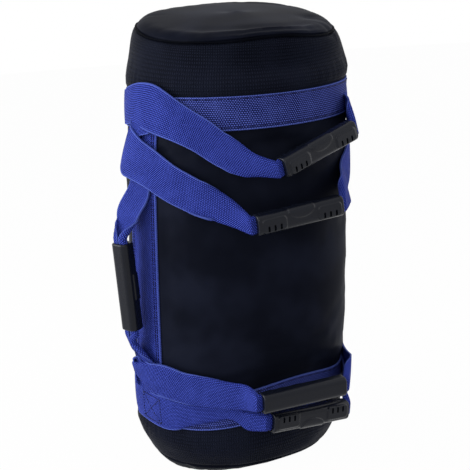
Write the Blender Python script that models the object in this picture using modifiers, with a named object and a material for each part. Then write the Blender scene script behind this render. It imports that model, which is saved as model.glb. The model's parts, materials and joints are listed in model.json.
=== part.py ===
"""Sandbag trainer: a soft filled cylinder that stands on end, sewn from five panels, with
two webbing rings, two webbing side strips and six carrying handles with moulded grips."""
import math

import bmesh
import bpy
from mathutils import Matrix, Vector

# Bag outside, in metres
BAG_HEIGHT = 0.502
BAG_RADIUS = 0.127
WALL_DRAW_IN = 0.0065
BASE_RADIUS = 0.060
BASE_CORNER_HEIGHT = 0.062
RIM_RADIUS = 0.098
TOP_CORNER_HEIGHT = 0.060
WIDEST_SHARE = 0.573

# How the filled bag has settled
LEAN_X_SHARE = 0.049
LEAN_Y_SHARE = -0.033
TOP_SLUMP_SHARE = 0.19
SLUMP_FROM_AZIMUTH = math.radians(-12)
RING_RISE = 0.020
RING_RISE_AZIMUTH = math.radians(-5)
RING_RISE_SPREAD = math.radians(35)

# Layers, from the outside in
SKIN = 0.002
PADDING = 0.006
TOP_PADDING = 0.007
SACK = 0.001
CLEARANCE = 0.0003
SACK_SHOULDER = 0.024
NECK_RADIUS = 0.012
NECK_HEIGHT = 0.014
TIE_THICKNESS = 0.005

# Webbing
WEB_THICKNESS = 0.0018
RING_WIDTH = 0.038
STRIP_WIDTH = 0.050
UPPER_RING_FROM_TOP = 0.082
LOWER_RING_HEIGHT = 0.086
STRIP_TUCK = 0.014
STEP_LENGTH = 0.010
SEWN_GAP = 0.0009

# Handle straps
STRAP_WIDTH = 0.038
STRAP_THICKNESS = 0.0024
FOLDED_WIDTH = 0.017
TAPER_LENGTH = 0.022
MOUTH_RUN = 0.006

# Moulded grips
GRIP_LENGTH = 0.100
GRIP_WIDTH = 0.022
GRIP_THICKNESS = 0.018
GRIP_ROUNDING = 0.006
CHANNEL_GAP = 0.0006
PAD_RISE = 0.001
END_PAD_LENGTH = 0.025
END_PAD_WIDTH = 0.0145
END_PAD_INSET = 0.004
OVAL_LENGTH = 0.034
OVAL_WIDTH = 0.013
SLOT_LENGTH = 0.0055
SLOT_WIDTH = 0.0018
SLOT_DEPTH = 0.0025
SLOT_PITCH = 0.006
SLOT_COUNT = 3
CUT_OVERRUN = 0.002

# Where the grips of the ring handles rest: azimuth of the middle, its drop below the ring,
# its stand-off from the wall, and the slope of the grip
UPPER_FRONT_TURN = math.radians(0)
UPPER_FRONT_DROP = 0.0443
UPPER_FRONT_STANDOFF = 0.0165
UPPER_FRONT_SLOPE = math.radians(15)
UPPER_REAR_TURN = math.radians(-10.8)
UPPER_REAR_DROP = 0.109
UPPER_REAR_STANDOFF = 0.022
UPPER_REAR_SLOPE = math.radians(3.7)
LOWER_FRONT_TURN = math.radians(-3.7)
LOWER_FRONT_DROP = 0.0037
LOWER_FRONT_STANDOFF = 0.0195
LOWER_FRONT_SLOPE = math.radians(-6.9)
LOWER_REAR_TURN = math.radians(-10.3)
LOWER_REAR_DROP = -0.031
LOWER_REAR_STANDOFF = 0.034
LOWER_REAR_SLOPE = math.radians(-1.5)

# Side handles on the vertical strips
SIDE_TOP = 0.334
SIDE_BOTTOM = 0.118
SIDE_UPPER_TAIL = 0.012
SIDE_LOWER_TAIL = 0.024
SIDE_GRIP_HEIGHT = 0.232
SIDE_STANDOFF = 0.0235
SIDE_REST_SWING = math.radians(10)
SIDE_GRIP_TILT = math.radians(4)

# Facets
TURN_STEPS = 30
RING_COLUMNS = 96
STRIP_COLUMNS = 4
STRIP_ROWS = 12
LEG_SAMPLES = 18
WALL_SPANS = 4
LOW_WALL_SPANS = 3
CORD_FACETS = 8
OVAL_FACETS = 24
ROUNDING_SEGMENTS = 3
CORNER_STEP = math.radians(15)
SHARP_ANGLE = math.radians(35)
MERGE_DISTANCE = 0.00005

UPPER_RING_HEIGHT = BAG_HEIGHT - UPPER_RING_FROM_TOP
WALL_TOP = BAG_HEIGHT - TOP_CORNER_HEIGHT
BOTTOM_SEAM_TURN = math.radians(-45)
TOP_SEAM_TURN = math.radians(60)
CAP_TURN = math.radians(30)
STRIP_LIFT = CLEARANCE
RING_LIFT = CLEARANCE
RING_STEP_LIFT = STRIP_LIFT + WEB_THICKNESS + CLEARANCE
FRONT_ROOT_LIFT = RING_STEP_LIFT + WEB_THICKNESS + SEWN_GAP + STRAP_THICKNESS / 2
REAR_ROOT_LIFT = FRONT_ROOT_LIFT + STRAP_THICKNESS + SEWN_GAP
SIDE_ROOT_LIFT = STRIP_LIFT + WEB_THICKNESS + SEWN_GAP + STRAP_THICKNESS / 2

# Strap routes of the ring handles. Each row holds the way from the root at the side (0) to
# the mouth of the grip (1) in azimuth, then the drop in shares of the strap's width, then
# the stand-off in shares of the stand-off at the mouth.
UPPER_FRONT_LEFT_SHARES = [
    (0.12, -0.19, 0.3), (0.25, 0.0, 0.26), (0.41, 0.28, 0.22), (0.56, 0.62, 0.2),
    (0.7, 0.97, 0.26), (0.83, 1.29, 0.48),
]
UPPER_FRONT_RIGHT_SHARES = [
    (0.1, -0.02, 0.25), (0.24, -0.02, 0.24), (0.42, 0.0, 0.24), (0.6, 0.02, 0.28),
    (0.78, 0.14, 0.48), (0.9, 0.44, 0.75),
]
UPPER_REAR_LEFT_SHARES = [
    (-0.12, 0.35, 0.34), (-0.23, 0.91, 0.42), (-0.18, 1.39, 0.42), (-0.03, 1.56, 0.37),
    (0.09, 1.59, 0.31), (0.23, 1.65, 0.24), (0.41, 1.92, 0.21), (0.61, 2.27, 0.21),
    (0.75, 2.45, 0.27), (0.88, 2.74, 0.52),
]
UPPER_REAR_RIGHT_SHARES = [
    (-0.1, 0.35, 0.34), (-0.19, 0.74, 0.42), (-0.13, 0.97, 0.42), (0.2, 1.06, 0.28),
    (0.54, 1.36, 0.2), (0.8, 2.1, 0.5), (0.9, 2.5, 0.76),
]
LOWER_FRONT_LEFT_SHARES = [
    (0.12, 0.02, 0.3), (0.27, 0.0, 0.28), (0.44, -0.08, 0.29), (0.64, -0.14, 0.42),
    (0.84, -0.1, 0.68),
]
LOWER_FRONT_RIGHT_SHARES = [
    (0.1, 0.02, 0.3), (0.24, 0.05, 0.29), (0.42, 0.1, 0.3), (0.65, 0.18, 0.45), (0.86, 0.25, 0.73),
]
LOWER_REAR_LEFT_SHARES = [
    (-0.11, -0.13, 0.26), (-0.2, -0.43, 0.31), (-0.15, -0.76, 0.33), (-0.02, -0.9, 0.33),
    (0.11, -0.97, 0.3), (0.26, -1.01, 0.26), (0.42, -0.98, 0.27), (0.58, -0.92, 0.33),
    (0.75, -0.84, 0.5), (0.89, -0.8, 0.75),
]
LOWER_REAR_RIGHT_SHARES = [
    (-0.09, -0.13, 0.26), (-0.16, -0.43, 0.31), (-0.12, -0.76, 0.33), (-0.01, -0.9, 0.33),
    (0.19, -0.97, 0.28), (0.5, -0.95, 0.28), (0.76, -0.86, 0.52), (0.89, -0.8, 0.78),
]

# Route of a side handle: way from the sewn tail (0) to the mouth of the grip (1), then the
# stand-off in shares of the grip's stand-off
SIDE_UPPER_SHARES = [(0.26, 0.17), (0.52, 0.48), (0.78, 0.82)]
SIDE_LOWER_SHARES = [(0.38, 0.38), (0.70, 0.78)]


def clear_scene():
    """Start from an empty file."""
    for old in list(bpy.data.objects):
        bpy.data.objects.remove(old, do_unlink=True)


def collection(name):
    """Make a collection under the scene."""
    group = bpy.data.collections.new(name)
    bpy.context.scene.collection.children.link(group)
    return group


def material(name, colour, roughness):
    """Make a plain Principled material."""
    finish = bpy.data.materials.new(name)
    finish.use_nodes = True
    shader = finish.node_tree.nodes["Principled BSDF"]
    shader.inputs["Base Color"].default_value = (*colour, 1.0)
    shader.inputs["Roughness"].default_value = roughness
    shader.inputs["Metallic"].default_value = 0.0
    return finish


def move_to(piece, group):
    """Put a piece in one collection only."""
    for owner in list(piece.users_collection):
        owner.objects.unlink(piece)
    group.objects.link(piece)


def smooth_step(share):
    """Ease from 0 to 1."""
    share = min(max(share, 0.0), 1.0)
    return share * share * (3 - 2 * share)


def wall_radius(height):
    """Radius of the filled wall, widest a little above its middle."""
    widest = WIDEST_SHARE * BAG_HEIGHT
    return BAG_RADIUS - WALL_DRAW_IN * ((height - widest) / widest) ** 2


def azimuth_vector(azimuth):
    """Outward direction at an azimuth, where 0 faces the front (-Y) and 90 degrees is +X."""
    return Vector((math.sin(azimuth), -math.cos(azimuth), 0))


def leaned(point):
    """Lean of the whole bag."""
    return Vector((point.x + LEAN_X_SHARE * point.z, point.y + LEAN_Y_SHARE * point.z, point.z))


def settled(point):
    """Straight bag to settled bag: top slumped to one side, lower ring drawn up in front."""
    above_ring = (point.z - UPPER_RING_HEIGHT) / (BAG_HEIGHT - UPPER_RING_HEIGHT)
    slump = TOP_SLUMP_SHARE * smooth_step(above_ring) * point.dot(azimuth_vector(SLUMP_FROM_AZIMUTH))
    azimuth = math.atan2(point.x, -point.y)
    bell = math.exp(-(((azimuth - RING_RISE_AZIMUTH) / RING_RISE_SPREAD) ** 2))
    reach = Vector((point.x, point.y)).length / BAG_RADIUS
    below = smooth_step(point.z / LOWER_RING_HEIGHT)
    above = smooth_step((point.z - LOWER_RING_HEIGHT) / LOWER_RING_HEIGHT)
    rise = RING_RISE * bell * min(reach, 1.0) * below * (1 - above)
    return leaned(Vector((point.x, point.y, point.z - slump + rise)))


def skin_point(azimuth, height, lift):
    """Point on the straight wall, lifted off it."""
    point = azimuth_vector(azimuth) * (wall_radius(height) + lift)
    point.z = height
    return point


def handle_point(azimuth, height, lift):
    """Point beside the leaning wall."""
    return leaned(skin_point(azimuth, height, lift))


def corner_turns(first_turn, last_turn):
    """Turns of the points round a corner, alike in every layer."""
    count = max(round(abs(last_turn - first_turn) / CORNER_STEP), 1)
    return [first_turn + (last_turn - first_turn) * index / count for index in range(count + 1)]


def corner_point(radius, height, reach, rise, turn, inset):
    """Point on an oval corner, moved inwards along its normal."""
    normal = Vector((math.cos(turn) / reach, math.sin(turn) / rise)).normalized()
    return (radius + reach * math.cos(turn) - inset * normal.x,
            height + rise * math.sin(turn) - inset * normal.y)


def base_corner(first_turn, last_turn, inset):
    """Points of the rounded lower edge, from one turn to another (-90 degrees is the floor)."""
    reach = wall_radius(BASE_CORNER_HEIGHT) - BASE_RADIUS
    turns = corner_turns(first_turn, last_turn)
    return [corner_point(BASE_RADIUS, BASE_CORNER_HEIGHT, reach, BASE_CORNER_HEIGHT, turn, inset)
            for turn in turns]


def top_corner(first_turn, last_turn, inset):
    """Points of the rounded upper edge, from one turn to another (90 degrees is the top)."""
    reach = wall_radius(WALL_TOP) - RIM_RADIUS
    turns = corner_turns(first_turn, last_turn)
    return [corner_point(RIM_RADIUS, WALL_TOP, reach, TOP_CORNER_HEIGHT, turn, inset) for turn in turns]


def wall(first_height, last_height, inset, count=WALL_SPANS):
    """Points of the wall between two heights."""
    points = []
    for index in range(count + 1):
        height = first_height + (last_height - first_height) * index / count
        points.append((wall_radius(height) - inset, height))
    return points


def new_object(name, mesh, finish, group):
    """Add a mesh as a named piece."""
    piece = bpy.data.objects.new(name, mesh)
    mesh.materials.clear()
    mesh.materials.append(finish)
    group.objects.link(piece)
    return piece


def baked_mesh(piece):
    """Mesh of a piece with its modifiers applied."""
    evaluated = piece.evaluated_get(bpy.context.evaluated_depsgraph_get())
    return bpy.data.meshes.new_from_object(evaluated)


def bake(piece):
    """Replace a piece's mesh by its own finished shape."""
    mesh = baked_mesh(piece)
    piece.modifiers.clear()
    piece.data = mesh
    return mesh


def turned(name, profile, finish, group, thickness=0.0):
    """Turn a profile, listed from top to bottom, thicken it inwards and let it settle."""
    mesh = bpy.data.meshes.new(name)
    points = [(radius, 0, height) for radius, height in profile]
    edges = [(index, index + 1) for index in range(len(points) - 1)]
    mesh.from_pydata(points, edges, [])
    piece = new_object(name, mesh, finish, group)
    screw = piece.modifiers.new("turn", "SCREW")
    screw.steps = TURN_STEPS
    screw.render_steps = TURN_STEPS
    screw.use_merge_vertices = True
    screw.merge_threshold = MERGE_DISTANCE
    if thickness:
        shell = piece.modifiers.new("thickness", "SOLIDIFY")
        shell.thickness = thickness
        shell.offset = -1
    mesh = bake(piece)
    for vertex in mesh.vertices:
        vertex.co = settled(vertex.co)
    mesh.shade_smooth()
    mesh.set_sharp_from_angle(angle=SHARP_ANGLE)
    return piece


def webbing(name, place, columns, rows, thickness, finish, group, closed=False, offset=1):
    """Lay a flat web by a function of the way along it (0 to 1) and across it (-0.5 to 0.5)."""
    grid = bmesh.new()
    bmesh.ops.create_grid(grid, x_segments=columns, y_segments=rows, size=0.5)
    for vertex in grid.verts:
        vertex.co = place(vertex.co.x + 0.5, vertex.co.y)
    if closed:
        bmesh.ops.remove_doubles(grid, verts=grid.verts, dist=MERGE_DISTANCE)
    mesh = bpy.data.meshes.new(name)
    grid.to_mesh(mesh)
    grid.free()
    piece = new_object(name, mesh, finish, group)
    weave = piece.modifiers.new("thickness", "SOLIDIFY")
    weave.thickness = thickness
    weave.offset = offset
    return piece


def bag_panels(leather, group):
    """Five sewn panels of the skin: top, upper collar, body, lower collar and base."""
    half_gap = CLEARANCE / 2
    turned_gap = half_gap + SKIN * math.sin(CORNER_STEP / 2)
    rim_gap = turned_gap / (wall_radius(WALL_TOP) - RIM_RADIUS)
    base_gap = turned_gap / (wall_radius(BASE_CORNER_HEIGHT) - BASE_RADIUS)
    top = [(0, BAG_HEIGHT)] + top_corner(math.pi / 2, TOP_SEAM_TURN + rim_gap, 0)
    turned("top_panel", top, leather, group, SKIN)
    upper = top_corner(TOP_SEAM_TURN - rim_gap, 0, 0)
    upper += wall(WALL_TOP, UPPER_RING_HEIGHT + half_gap, 0, 1)[1:]
    turned("upper_collar", upper, leather, group, SKIN)
    body = wall(UPPER_RING_HEIGHT - half_gap, 2 * LOWER_RING_HEIGHT, 0)
    body += wall(2 * LOWER_RING_HEIGHT, LOWER_RING_HEIGHT + half_gap, 0, LOW_WALL_SPANS)[1:]
    turned("body_panel", body, leather, group, SKIN)
    lower = wall(LOWER_RING_HEIGHT - half_gap, BASE_CORNER_HEIGHT, 0, 1)
    lower += base_corner(0, BOTTOM_SEAM_TURN + base_gap, 0)[1:]
    turned("lower_collar", lower, leather, group, SKIN)
    base = base_corner(BOTTOM_SEAM_TURN - base_gap, -math.pi / 2, 0) + [(0, 0)]
    turned("bottom_panel", base, leather, group, SKIN)


def bag_padding(foam, group):
    """Foam between the skin and the sack: a sleeve, a cap under the top and a disc below."""
    inset = SKIN + CLEARANCE
    half_gap = CLEARANCE / 2 + TOP_PADDING * math.sin(CORNER_STEP / 2)
    gap_turn = half_gap / (wall_radius(WALL_TOP) - inset - RIM_RADIUS)
    cap = [(0, BAG_HEIGHT - inset)] + top_corner(math.pi / 2, CAP_TURN + gap_turn, inset)
    turned("top_padding", cap, foam, group, TOP_PADDING)
    sleeve = top_corner(CAP_TURN - gap_turn, 0, inset)
    sleeve += wall(WALL_TOP, BASE_CORNER_HEIGHT, inset)[1:]
    sleeve += base_corner(0, -math.pi / 2, inset)[1:]
    turned("padding_sleeve", sleeve, foam, group, PADDING)
    radius = BASE_RADIUS - PADDING * math.sin(CORNER_STEP / 2) - CLEARANCE
    disc = [(0, inset + PADDING), (radius, inset + PADDING), (radius, inset), (0, inset)]
    turned("bottom_padding", disc, foam, group)


def sack_shoulder(inset, inner_radius):
    """Shoulder of the sack: a cone from the neck down to the wall."""
    wall_height = WALL_TOP - TOP_PADDING - inset
    outer = wall_radius(wall_height) - inset
    height = wall_height + SACK_SHOULDER * (outer - inner_radius) / (outer - NECK_RADIUS)
    return [(inner_radius, height), (outer, wall_height)]


def bag_filling(woven, cord, sand, group):
    """Sand in a woven sack whose neck is tied shut."""
    inset = SKIN + PADDING + 2 * CLEARANCE
    shoulder = sack_shoulder(inset, NECK_RADIUS)
    neck_top = shoulder[0][1] + NECK_HEIGHT
    sack = [(NECK_RADIUS, neck_top)] + shoulder
    sack += wall(shoulder[1][1], BASE_CORNER_HEIGHT, inset)[1:]
    sack += base_corner(0, -math.pi / 2, inset)[1:] + [(0, inset)]
    turned("sand_sack", sack, woven, group, SACK)
    inner = inset + SACK + CLEARANCE
    fill = sack_shoulder(inner + CLEARANCE, 0)
    fill += wall(fill[1][1], BASE_CORNER_HEIGHT, inner)[1:]
    fill += base_corner(0, -math.pi / 2, inner)[1:] + [(0, inner)]
    turned("sand_fill", fill, sand, group)
    tie_radius = NECK_RADIUS + CLEARANCE + TIE_THICKNESS / 2
    place = settled(Vector((0, 0, neck_top - NECK_HEIGHT / 2)))
    bpy.ops.mesh.primitive_torus_add(
        major_radius=tie_radius, minor_radius=TIE_THICKNESS / 2,
        major_segments=TURN_STEPS, minor_segments=CORD_FACETS, location=place)
    tie = bpy.context.object
    tie.name = "sack_tie"
    tie.data.materials.append(cord)
    move_to(tie, group)


def ring_lift(azimuth):
    """Ring bands step out over the side strips."""
    past_strip = abs(math.pi / 2 - abs(azimuth)) * BAG_RADIUS - STRIP_WIDTH / 2
    column = 2 * math.pi * BAG_RADIUS / RING_COLUMNS
    step = smooth_step(1 - (past_strip - column) / STEP_LENGTH)
    return RING_LIFT + (RING_STEP_LIFT - RING_LIFT) * step


def ring_bands(blue, group):
    """Webbing rings sewn round the upper and the lower seam."""
    for name, middle in (("upper_ring_band", UPPER_RING_HEIGHT), ("lower_ring_band", LOWER_RING_HEIGHT)):
        def place(along, across, middle=middle):
            azimuth = (along - 0.5) * 2 * math.pi
            return settled(skin_point(azimuth, middle + across * RING_WIDTH, ring_lift(azimuth)))
        webbing(name, place, RING_COLUMNS, 1, WEB_THICKNESS, blue, group, closed=True)


def side_strips(blue, group):
    """Webbing strips up both sides, their ends tucked under the rings."""
    first = LOWER_RING_HEIGHT - RING_WIDTH / 2 + STRIP_TUCK
    last = UPPER_RING_HEIGHT + RING_WIDTH / 2 - STRIP_TUCK
    for name, side in (("left_strip", -1), ("right_strip", 1)):
        def place(along, across, side=side):
            azimuth = side * math.pi / 2 + (along - 0.5) * STRIP_WIDTH / BAG_RADIUS
            return settled(skin_point(azimuth, first + (across + 0.5) * (last - first), STRIP_LIFT))
        webbing(name, place, STRIP_COLUMNS, STRIP_ROWS, WEB_THICKNESS, blue, group)


def curve_through(points, samples):
    """Smooth run of points through the given ones."""
    guide = [2 * points[0] - points[1]] + points + [2 * points[-1] - points[-2]]
    run = []
    spans = len(points) - 1
    for index in range(samples):
        way = index / samples * spans
        span = int(way)
        t = way - span
        a, b, c, d = guide[span:span + 4]
        run.append(0.5 * (2 * b + (c - a) * t + (2 * a - 5 * b + 4 * c - d) * t * t
                          + (3 * b - a - 3 * c + d) * t ** 3))
    run.append(points[-1].copy())
    return run


def strap(name, route, outward, mouths, grip_side, finish, group):
    """Loft a strap along a route. It narrows and lies straight where it passes the grip."""
    lengths = [0.0]
    for index in range(1, len(route)):
        lengths.append(lengths[-1] + (route[index] - route[index - 1]).length)
    mouth_lengths = [lengths[index] for index in mouths]

    def place(along, across):
        index = round(along * (len(route) - 1))
        before = route[max(index - 1, 0)]
        after = route[min(index + 1, len(route) - 1)]
        direction = (after - before).normalized()
        side = outward(route[index]).cross(direction).normalized()
        if mouths[0] - 1 <= index <= mouths[1] + 1:
            side = grip_side
        way = lengths[index]
        outside = max(mouth_lengths[0] - way, way - mouth_lengths[1], 0.0)
        width = FOLDED_WIDTH + (STRAP_WIDTH - FOLDED_WIDTH) * smooth_step(outside / TAPER_LENGTH)
        return route[index] + side * across * width

    return webbing(name, place, len(route) - 1, 1, STRAP_THICKNESS, finish, group, offset=0)


def shaper(name, size, group):
    """Size and hide the primitive just added, which cuts or joins a piece."""
    tool = bpy.context.object
    tool.name = name
    tool.scale = size
    tool.hide_render = True
    tool.display_type = "WIRE"
    move_to(tool, group)
    return tool


def box(name, size, place, group):
    """Box that cuts or joins a piece."""
    bpy.ops.mesh.primitive_cube_add(size=1, location=place)
    return shaper(name, size, group)


def combine(piece, other, operation):
    """Boolean of a piece with another object."""
    step = piece.modifiers.new(other.name, "BOOLEAN")
    step.object = other
    step.operation = operation
    step.solver = "EXACT"


def grip_mesh(rubber, cutters):
    """Moulded grip along X with its outer face up (+Z), pads, slots and a flat channel."""
    bpy.ops.mesh.primitive_cube_add(size=1)
    body = bpy.context.object
    body.name = "grip_pattern"
    body.data.transform(Matrix.Diagonal((GRIP_LENGTH, GRIP_WIDTH, GRIP_THICKNESS, 1)))
    rounding = body.modifiers.new("rounding", "BEVEL")
    rounding.width = GRIP_ROUNDING
    rounding.segments = ROUNDING_SEGMENTS
    pad_height = GRIP_THICKNESS / 2 + PAD_RISE
    pad_middle = GRIP_LENGTH / 2 - END_PAD_INSET - END_PAD_LENGTH / 2
    for side in (-1, 1):
        pad_size = (END_PAD_LENGTH, END_PAD_WIDTH, pad_height)
        combine(body, box("end_pad", pad_size, (side * pad_middle, 0, pad_height / 2), cutters), "UNION")
    bpy.ops.mesh.primitive_cylinder_add(
        vertices=OVAL_FACETS, radius=0.5, depth=1, location=(0, 0, pad_height / 2))
    combine(body, shaper("oval_pad", (OVAL_LENGTH, OVAL_WIDTH, pad_height), cutters), "UNION")
    channel_size = (GRIP_LENGTH + 2 * CUT_OVERRUN, FOLDED_WIDTH + 2 * CHANNEL_GAP,
                    STRAP_THICKNESS + 2 * CHANNEL_GAP)
    combine(body, box("channel", channel_size, (0, 0, 0), cutters), "DIFFERENCE")
    slot_size = (SLOT_WIDTH, SLOT_LENGTH, 2 * SLOT_DEPTH)
    slot_offset = END_PAD_WIDTH / 2 - SLOT_LENGTH / 2 - 2 * PAD_RISE
    for side in (-1, 1):
        for index in range(SLOT_COUNT):
            way = side * pad_middle + (index - (SLOT_COUNT - 1) / 2) * SLOT_PITCH
            combine(body, box("slot", slot_size, (way, -slot_offset, pad_height), cutters), "DIFFERENCE")
    mesh = baked_mesh(body)
    mesh.name = "grip"
    mesh.materials.clear()
    mesh.materials.append(rubber)
    mesh.shade_smooth()
    mesh.set_sharp_from_angle(angle=SHARP_ANGLE)
    bpy.data.objects.remove(body, do_unlink=True)
    return mesh


def grip_frame(middle, along, outward):
    """Matrix of a grip from its middle, its length's direction and its outward side."""
    across = outward.cross(along).normalized()
    face = along.cross(across)
    return Matrix.Translation(middle) @ Matrix((along, across, face)).transposed().to_4x4()


def hang_on(pivot, name, pieces, group):
    """Hang the pieces of a handle on an empty that lies on their hinge axis."""
    hinge = bpy.data.objects.new(name, None)
    hinge.location = pivot
    group.objects.link(hinge)
    for piece in pieces:
        world = piece.matrix_world.copy()
        piece.parent = hinge
        piece.matrix_local = Matrix.Translation(-pivot) @ world


def handle(name, left_leg, right_leg, middle, along, outward, pivot, pieces):
    """Strap and grip of one handle, with the legs listed from their roots."""
    mouth = along * (GRIP_LENGTH / 2)
    lead = along * (GRIP_LENGTH / 2 + MOUTH_RUN)
    left_run = curve_through(left_leg + [middle - lead], LEG_SAMPLES)
    right_run = curve_through(right_leg + [middle + lead], LEG_SAMPLES)[::-1]
    route = left_run + [middle - mouth, middle + mouth] + right_run
    mouths = (len(left_run), len(left_run) + 1)
    frame = grip_frame(middle, along, outward(middle))
    grip_side = frame.col[1].to_3d()
    web = strap(name + "_strap", route, outward, mouths, grip_side, pieces["blue"], pieces["group"])
    sleeve = bpy.data.objects.new(name + "_grip", pieces["grip"])
    pieces["group"].objects.link(sleeve)
    sleeve.matrix_world = frame
    hang_on(pivot, name + "_hinge", (web, sleeve), pieces["group"])


def outward_from_bag(point):
    """Outward direction square to the leaning wall."""
    radial = Vector((point.x - LEAN_X_SHARE * point.z, point.y - LEAN_Y_SHARE * point.z, 0)).normalized()
    up = leaned(Vector((0, 0, 1))).normalized()
    return (radial - up * radial.dot(up)).normalized()


def ring_handle(name, ring, root_lift, turn, drop, standoff, slope, leg_shares, pieces):
    """Handle sewn to a ring above both side strips, hanging to the front."""
    middle = skin_point(turn, ring - drop, standoff)
    level = azimuth_vector(turn + math.pi / 2)
    along = level * math.cos(slope) + Vector((0, 0, math.sin(slope)))
    legs = []
    for side, shares in zip((-1, 1), leg_shares):
        root = side * math.pi / 2
        mouth = middle + side * along * (GRIP_LENGTH / 2 + MOUTH_RUN)
        mouth_turn = math.atan2(mouth.x, -mouth.y)
        mouth_lift = Vector((mouth.x, mouth.y)).length - wall_radius(mouth.z)
        leg = [handle_point(root, ring, root_lift)]
        for way, drop_share, lift_share in shares:
            azimuth = root + (mouth_turn - root) * way
            leg.append(handle_point(azimuth, ring - drop_share * STRAP_WIDTH, lift_share * mouth_lift))
        legs.append(leg)
    pivot = leaned(Vector((0, 0, ring)))
    handle(name, legs[0], legs[1], leaned(middle), along, outward_from_bag, pivot, pieces)


def ring_handles(pieces):
    """Four handles on the rings: at each ring the rear one is flipped over to the front."""
    ring_handle(
        "upper_front", UPPER_RING_HEIGHT, FRONT_ROOT_LIFT, UPPER_FRONT_TURN, UPPER_FRONT_DROP,
        UPPER_FRONT_STANDOFF, UPPER_FRONT_SLOPE, (UPPER_FRONT_LEFT_SHARES, UPPER_FRONT_RIGHT_SHARES), pieces)
    ring_handle(
        "upper_rear", UPPER_RING_HEIGHT, REAR_ROOT_LIFT, UPPER_REAR_TURN, UPPER_REAR_DROP,
        UPPER_REAR_STANDOFF, UPPER_REAR_SLOPE, (UPPER_REAR_LEFT_SHARES, UPPER_REAR_RIGHT_SHARES), pieces)
    ring_handle(
        "lower_front", LOWER_RING_HEIGHT, FRONT_ROOT_LIFT, LOWER_FRONT_TURN, LOWER_FRONT_DROP,
        LOWER_FRONT_STANDOFF, LOWER_FRONT_SLOPE, (LOWER_FRONT_LEFT_SHARES, LOWER_FRONT_RIGHT_SHARES), pieces)
    ring_handle(
        "lower_rear", LOWER_RING_HEIGHT, REAR_ROOT_LIFT, LOWER_REAR_TURN, LOWER_REAR_DROP,
        LOWER_REAR_STANDOFF, LOWER_REAR_SLOPE, (LOWER_REAR_LEFT_SHARES, LOWER_REAR_RIGHT_SHARES), pieces)


def side_handle(name, side, pieces):
    """Handle that stands off a side strip, swung a little to the back."""
    azimuth = side * math.pi / 2
    swing = side * SIDE_REST_SWING
    out = azimuth_vector(azimuth + swing)
    reach = SIDE_STANDOFF - SIDE_ROOT_LIFT

    def beside(height, share):
        """Point at a height, off the strip by a share of the grip's reach."""
        return handle_point(azimuth, height, SIDE_ROOT_LIFT) + out * reach * share

    def facing(point):
        """Outward direction, which swings round with the strap as it leaves the strip."""
        lift = (point - handle_point(azimuth, point.z, SIDE_ROOT_LIFT)).length
        return azimuth_vector(azimuth + swing * smooth_step(lift / reach))

    half = GRIP_LENGTH / 2 + MOUTH_RUN
    leave_top = SIDE_TOP - SIDE_UPPER_TAIL
    leave_bottom = SIDE_BOTTOM + SIDE_LOWER_TAIL
    upper = [beside(SIDE_TOP, 0), beside(leave_top, 0)]
    lower = [beside(SIDE_BOTTOM, 0), beside(leave_bottom, 0)]
    for way, share in SIDE_UPPER_SHARES:
        upper.append(beside(leave_top + (SIDE_GRIP_HEIGHT + half - leave_top) * way, share))
    for way, share in SIDE_LOWER_SHARES:
        lower.append(beside(leave_bottom + (SIDE_GRIP_HEIGHT - half - leave_bottom) * way, share))
    pivot = handle_point(azimuth, SIDE_GRIP_HEIGHT, SIDE_ROOT_LIFT)
    up = leaned(Vector((0, 0, 1))).normalized()
    along = (up * math.cos(SIDE_GRIP_TILT) + out * math.sin(SIDE_GRIP_TILT)).normalized()
    handle(name, lower, upper, beside(SIDE_GRIP_HEIGHT, 1), along, facing, pivot, pieces)


def build():
    """Build the whole trainer."""
    clear_scene()
    group = collection("sandbag_trainer")
    cutters = collection("cutters")
    leather = material("black_leathercloth", (0.010, 0.011, 0.016), 0.5)
    foam = material("grey_foam", (0.22, 0.22, 0.23), 0.9)
    woven = material("woven_sack", (0.62, 0.60, 0.52), 0.8)
    cord = material("tie_cord", (0.55, 0.50, 0.40), 0.8)
    sand = material("sand", (0.48, 0.36, 0.22), 1.0)
    blue = material("blue_webbing", (0.035, 0.055, 0.42), 0.7)
    rubber = material("black_rubber", (0.015, 0.015, 0.017), 0.4)
    bag_panels(leather, group)
    bag_padding(foam, group)
    bag_filling(woven, cord, sand, group)
    ring_bands(blue, group)
    side_strips(blue, group)
    pieces = {"blue": blue, "group": group, "grip": grip_mesh(rubber, cutters)}
    ring_handles(pieces)
    side_handle("left_side", -1, pieces)
    side_handle("right_side", 1, pieces)


build()
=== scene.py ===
import json
import math

import bpy
import numpy as np
from mathutils import Matrix, Vector
from mathutils.kdtree import KDTree

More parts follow.
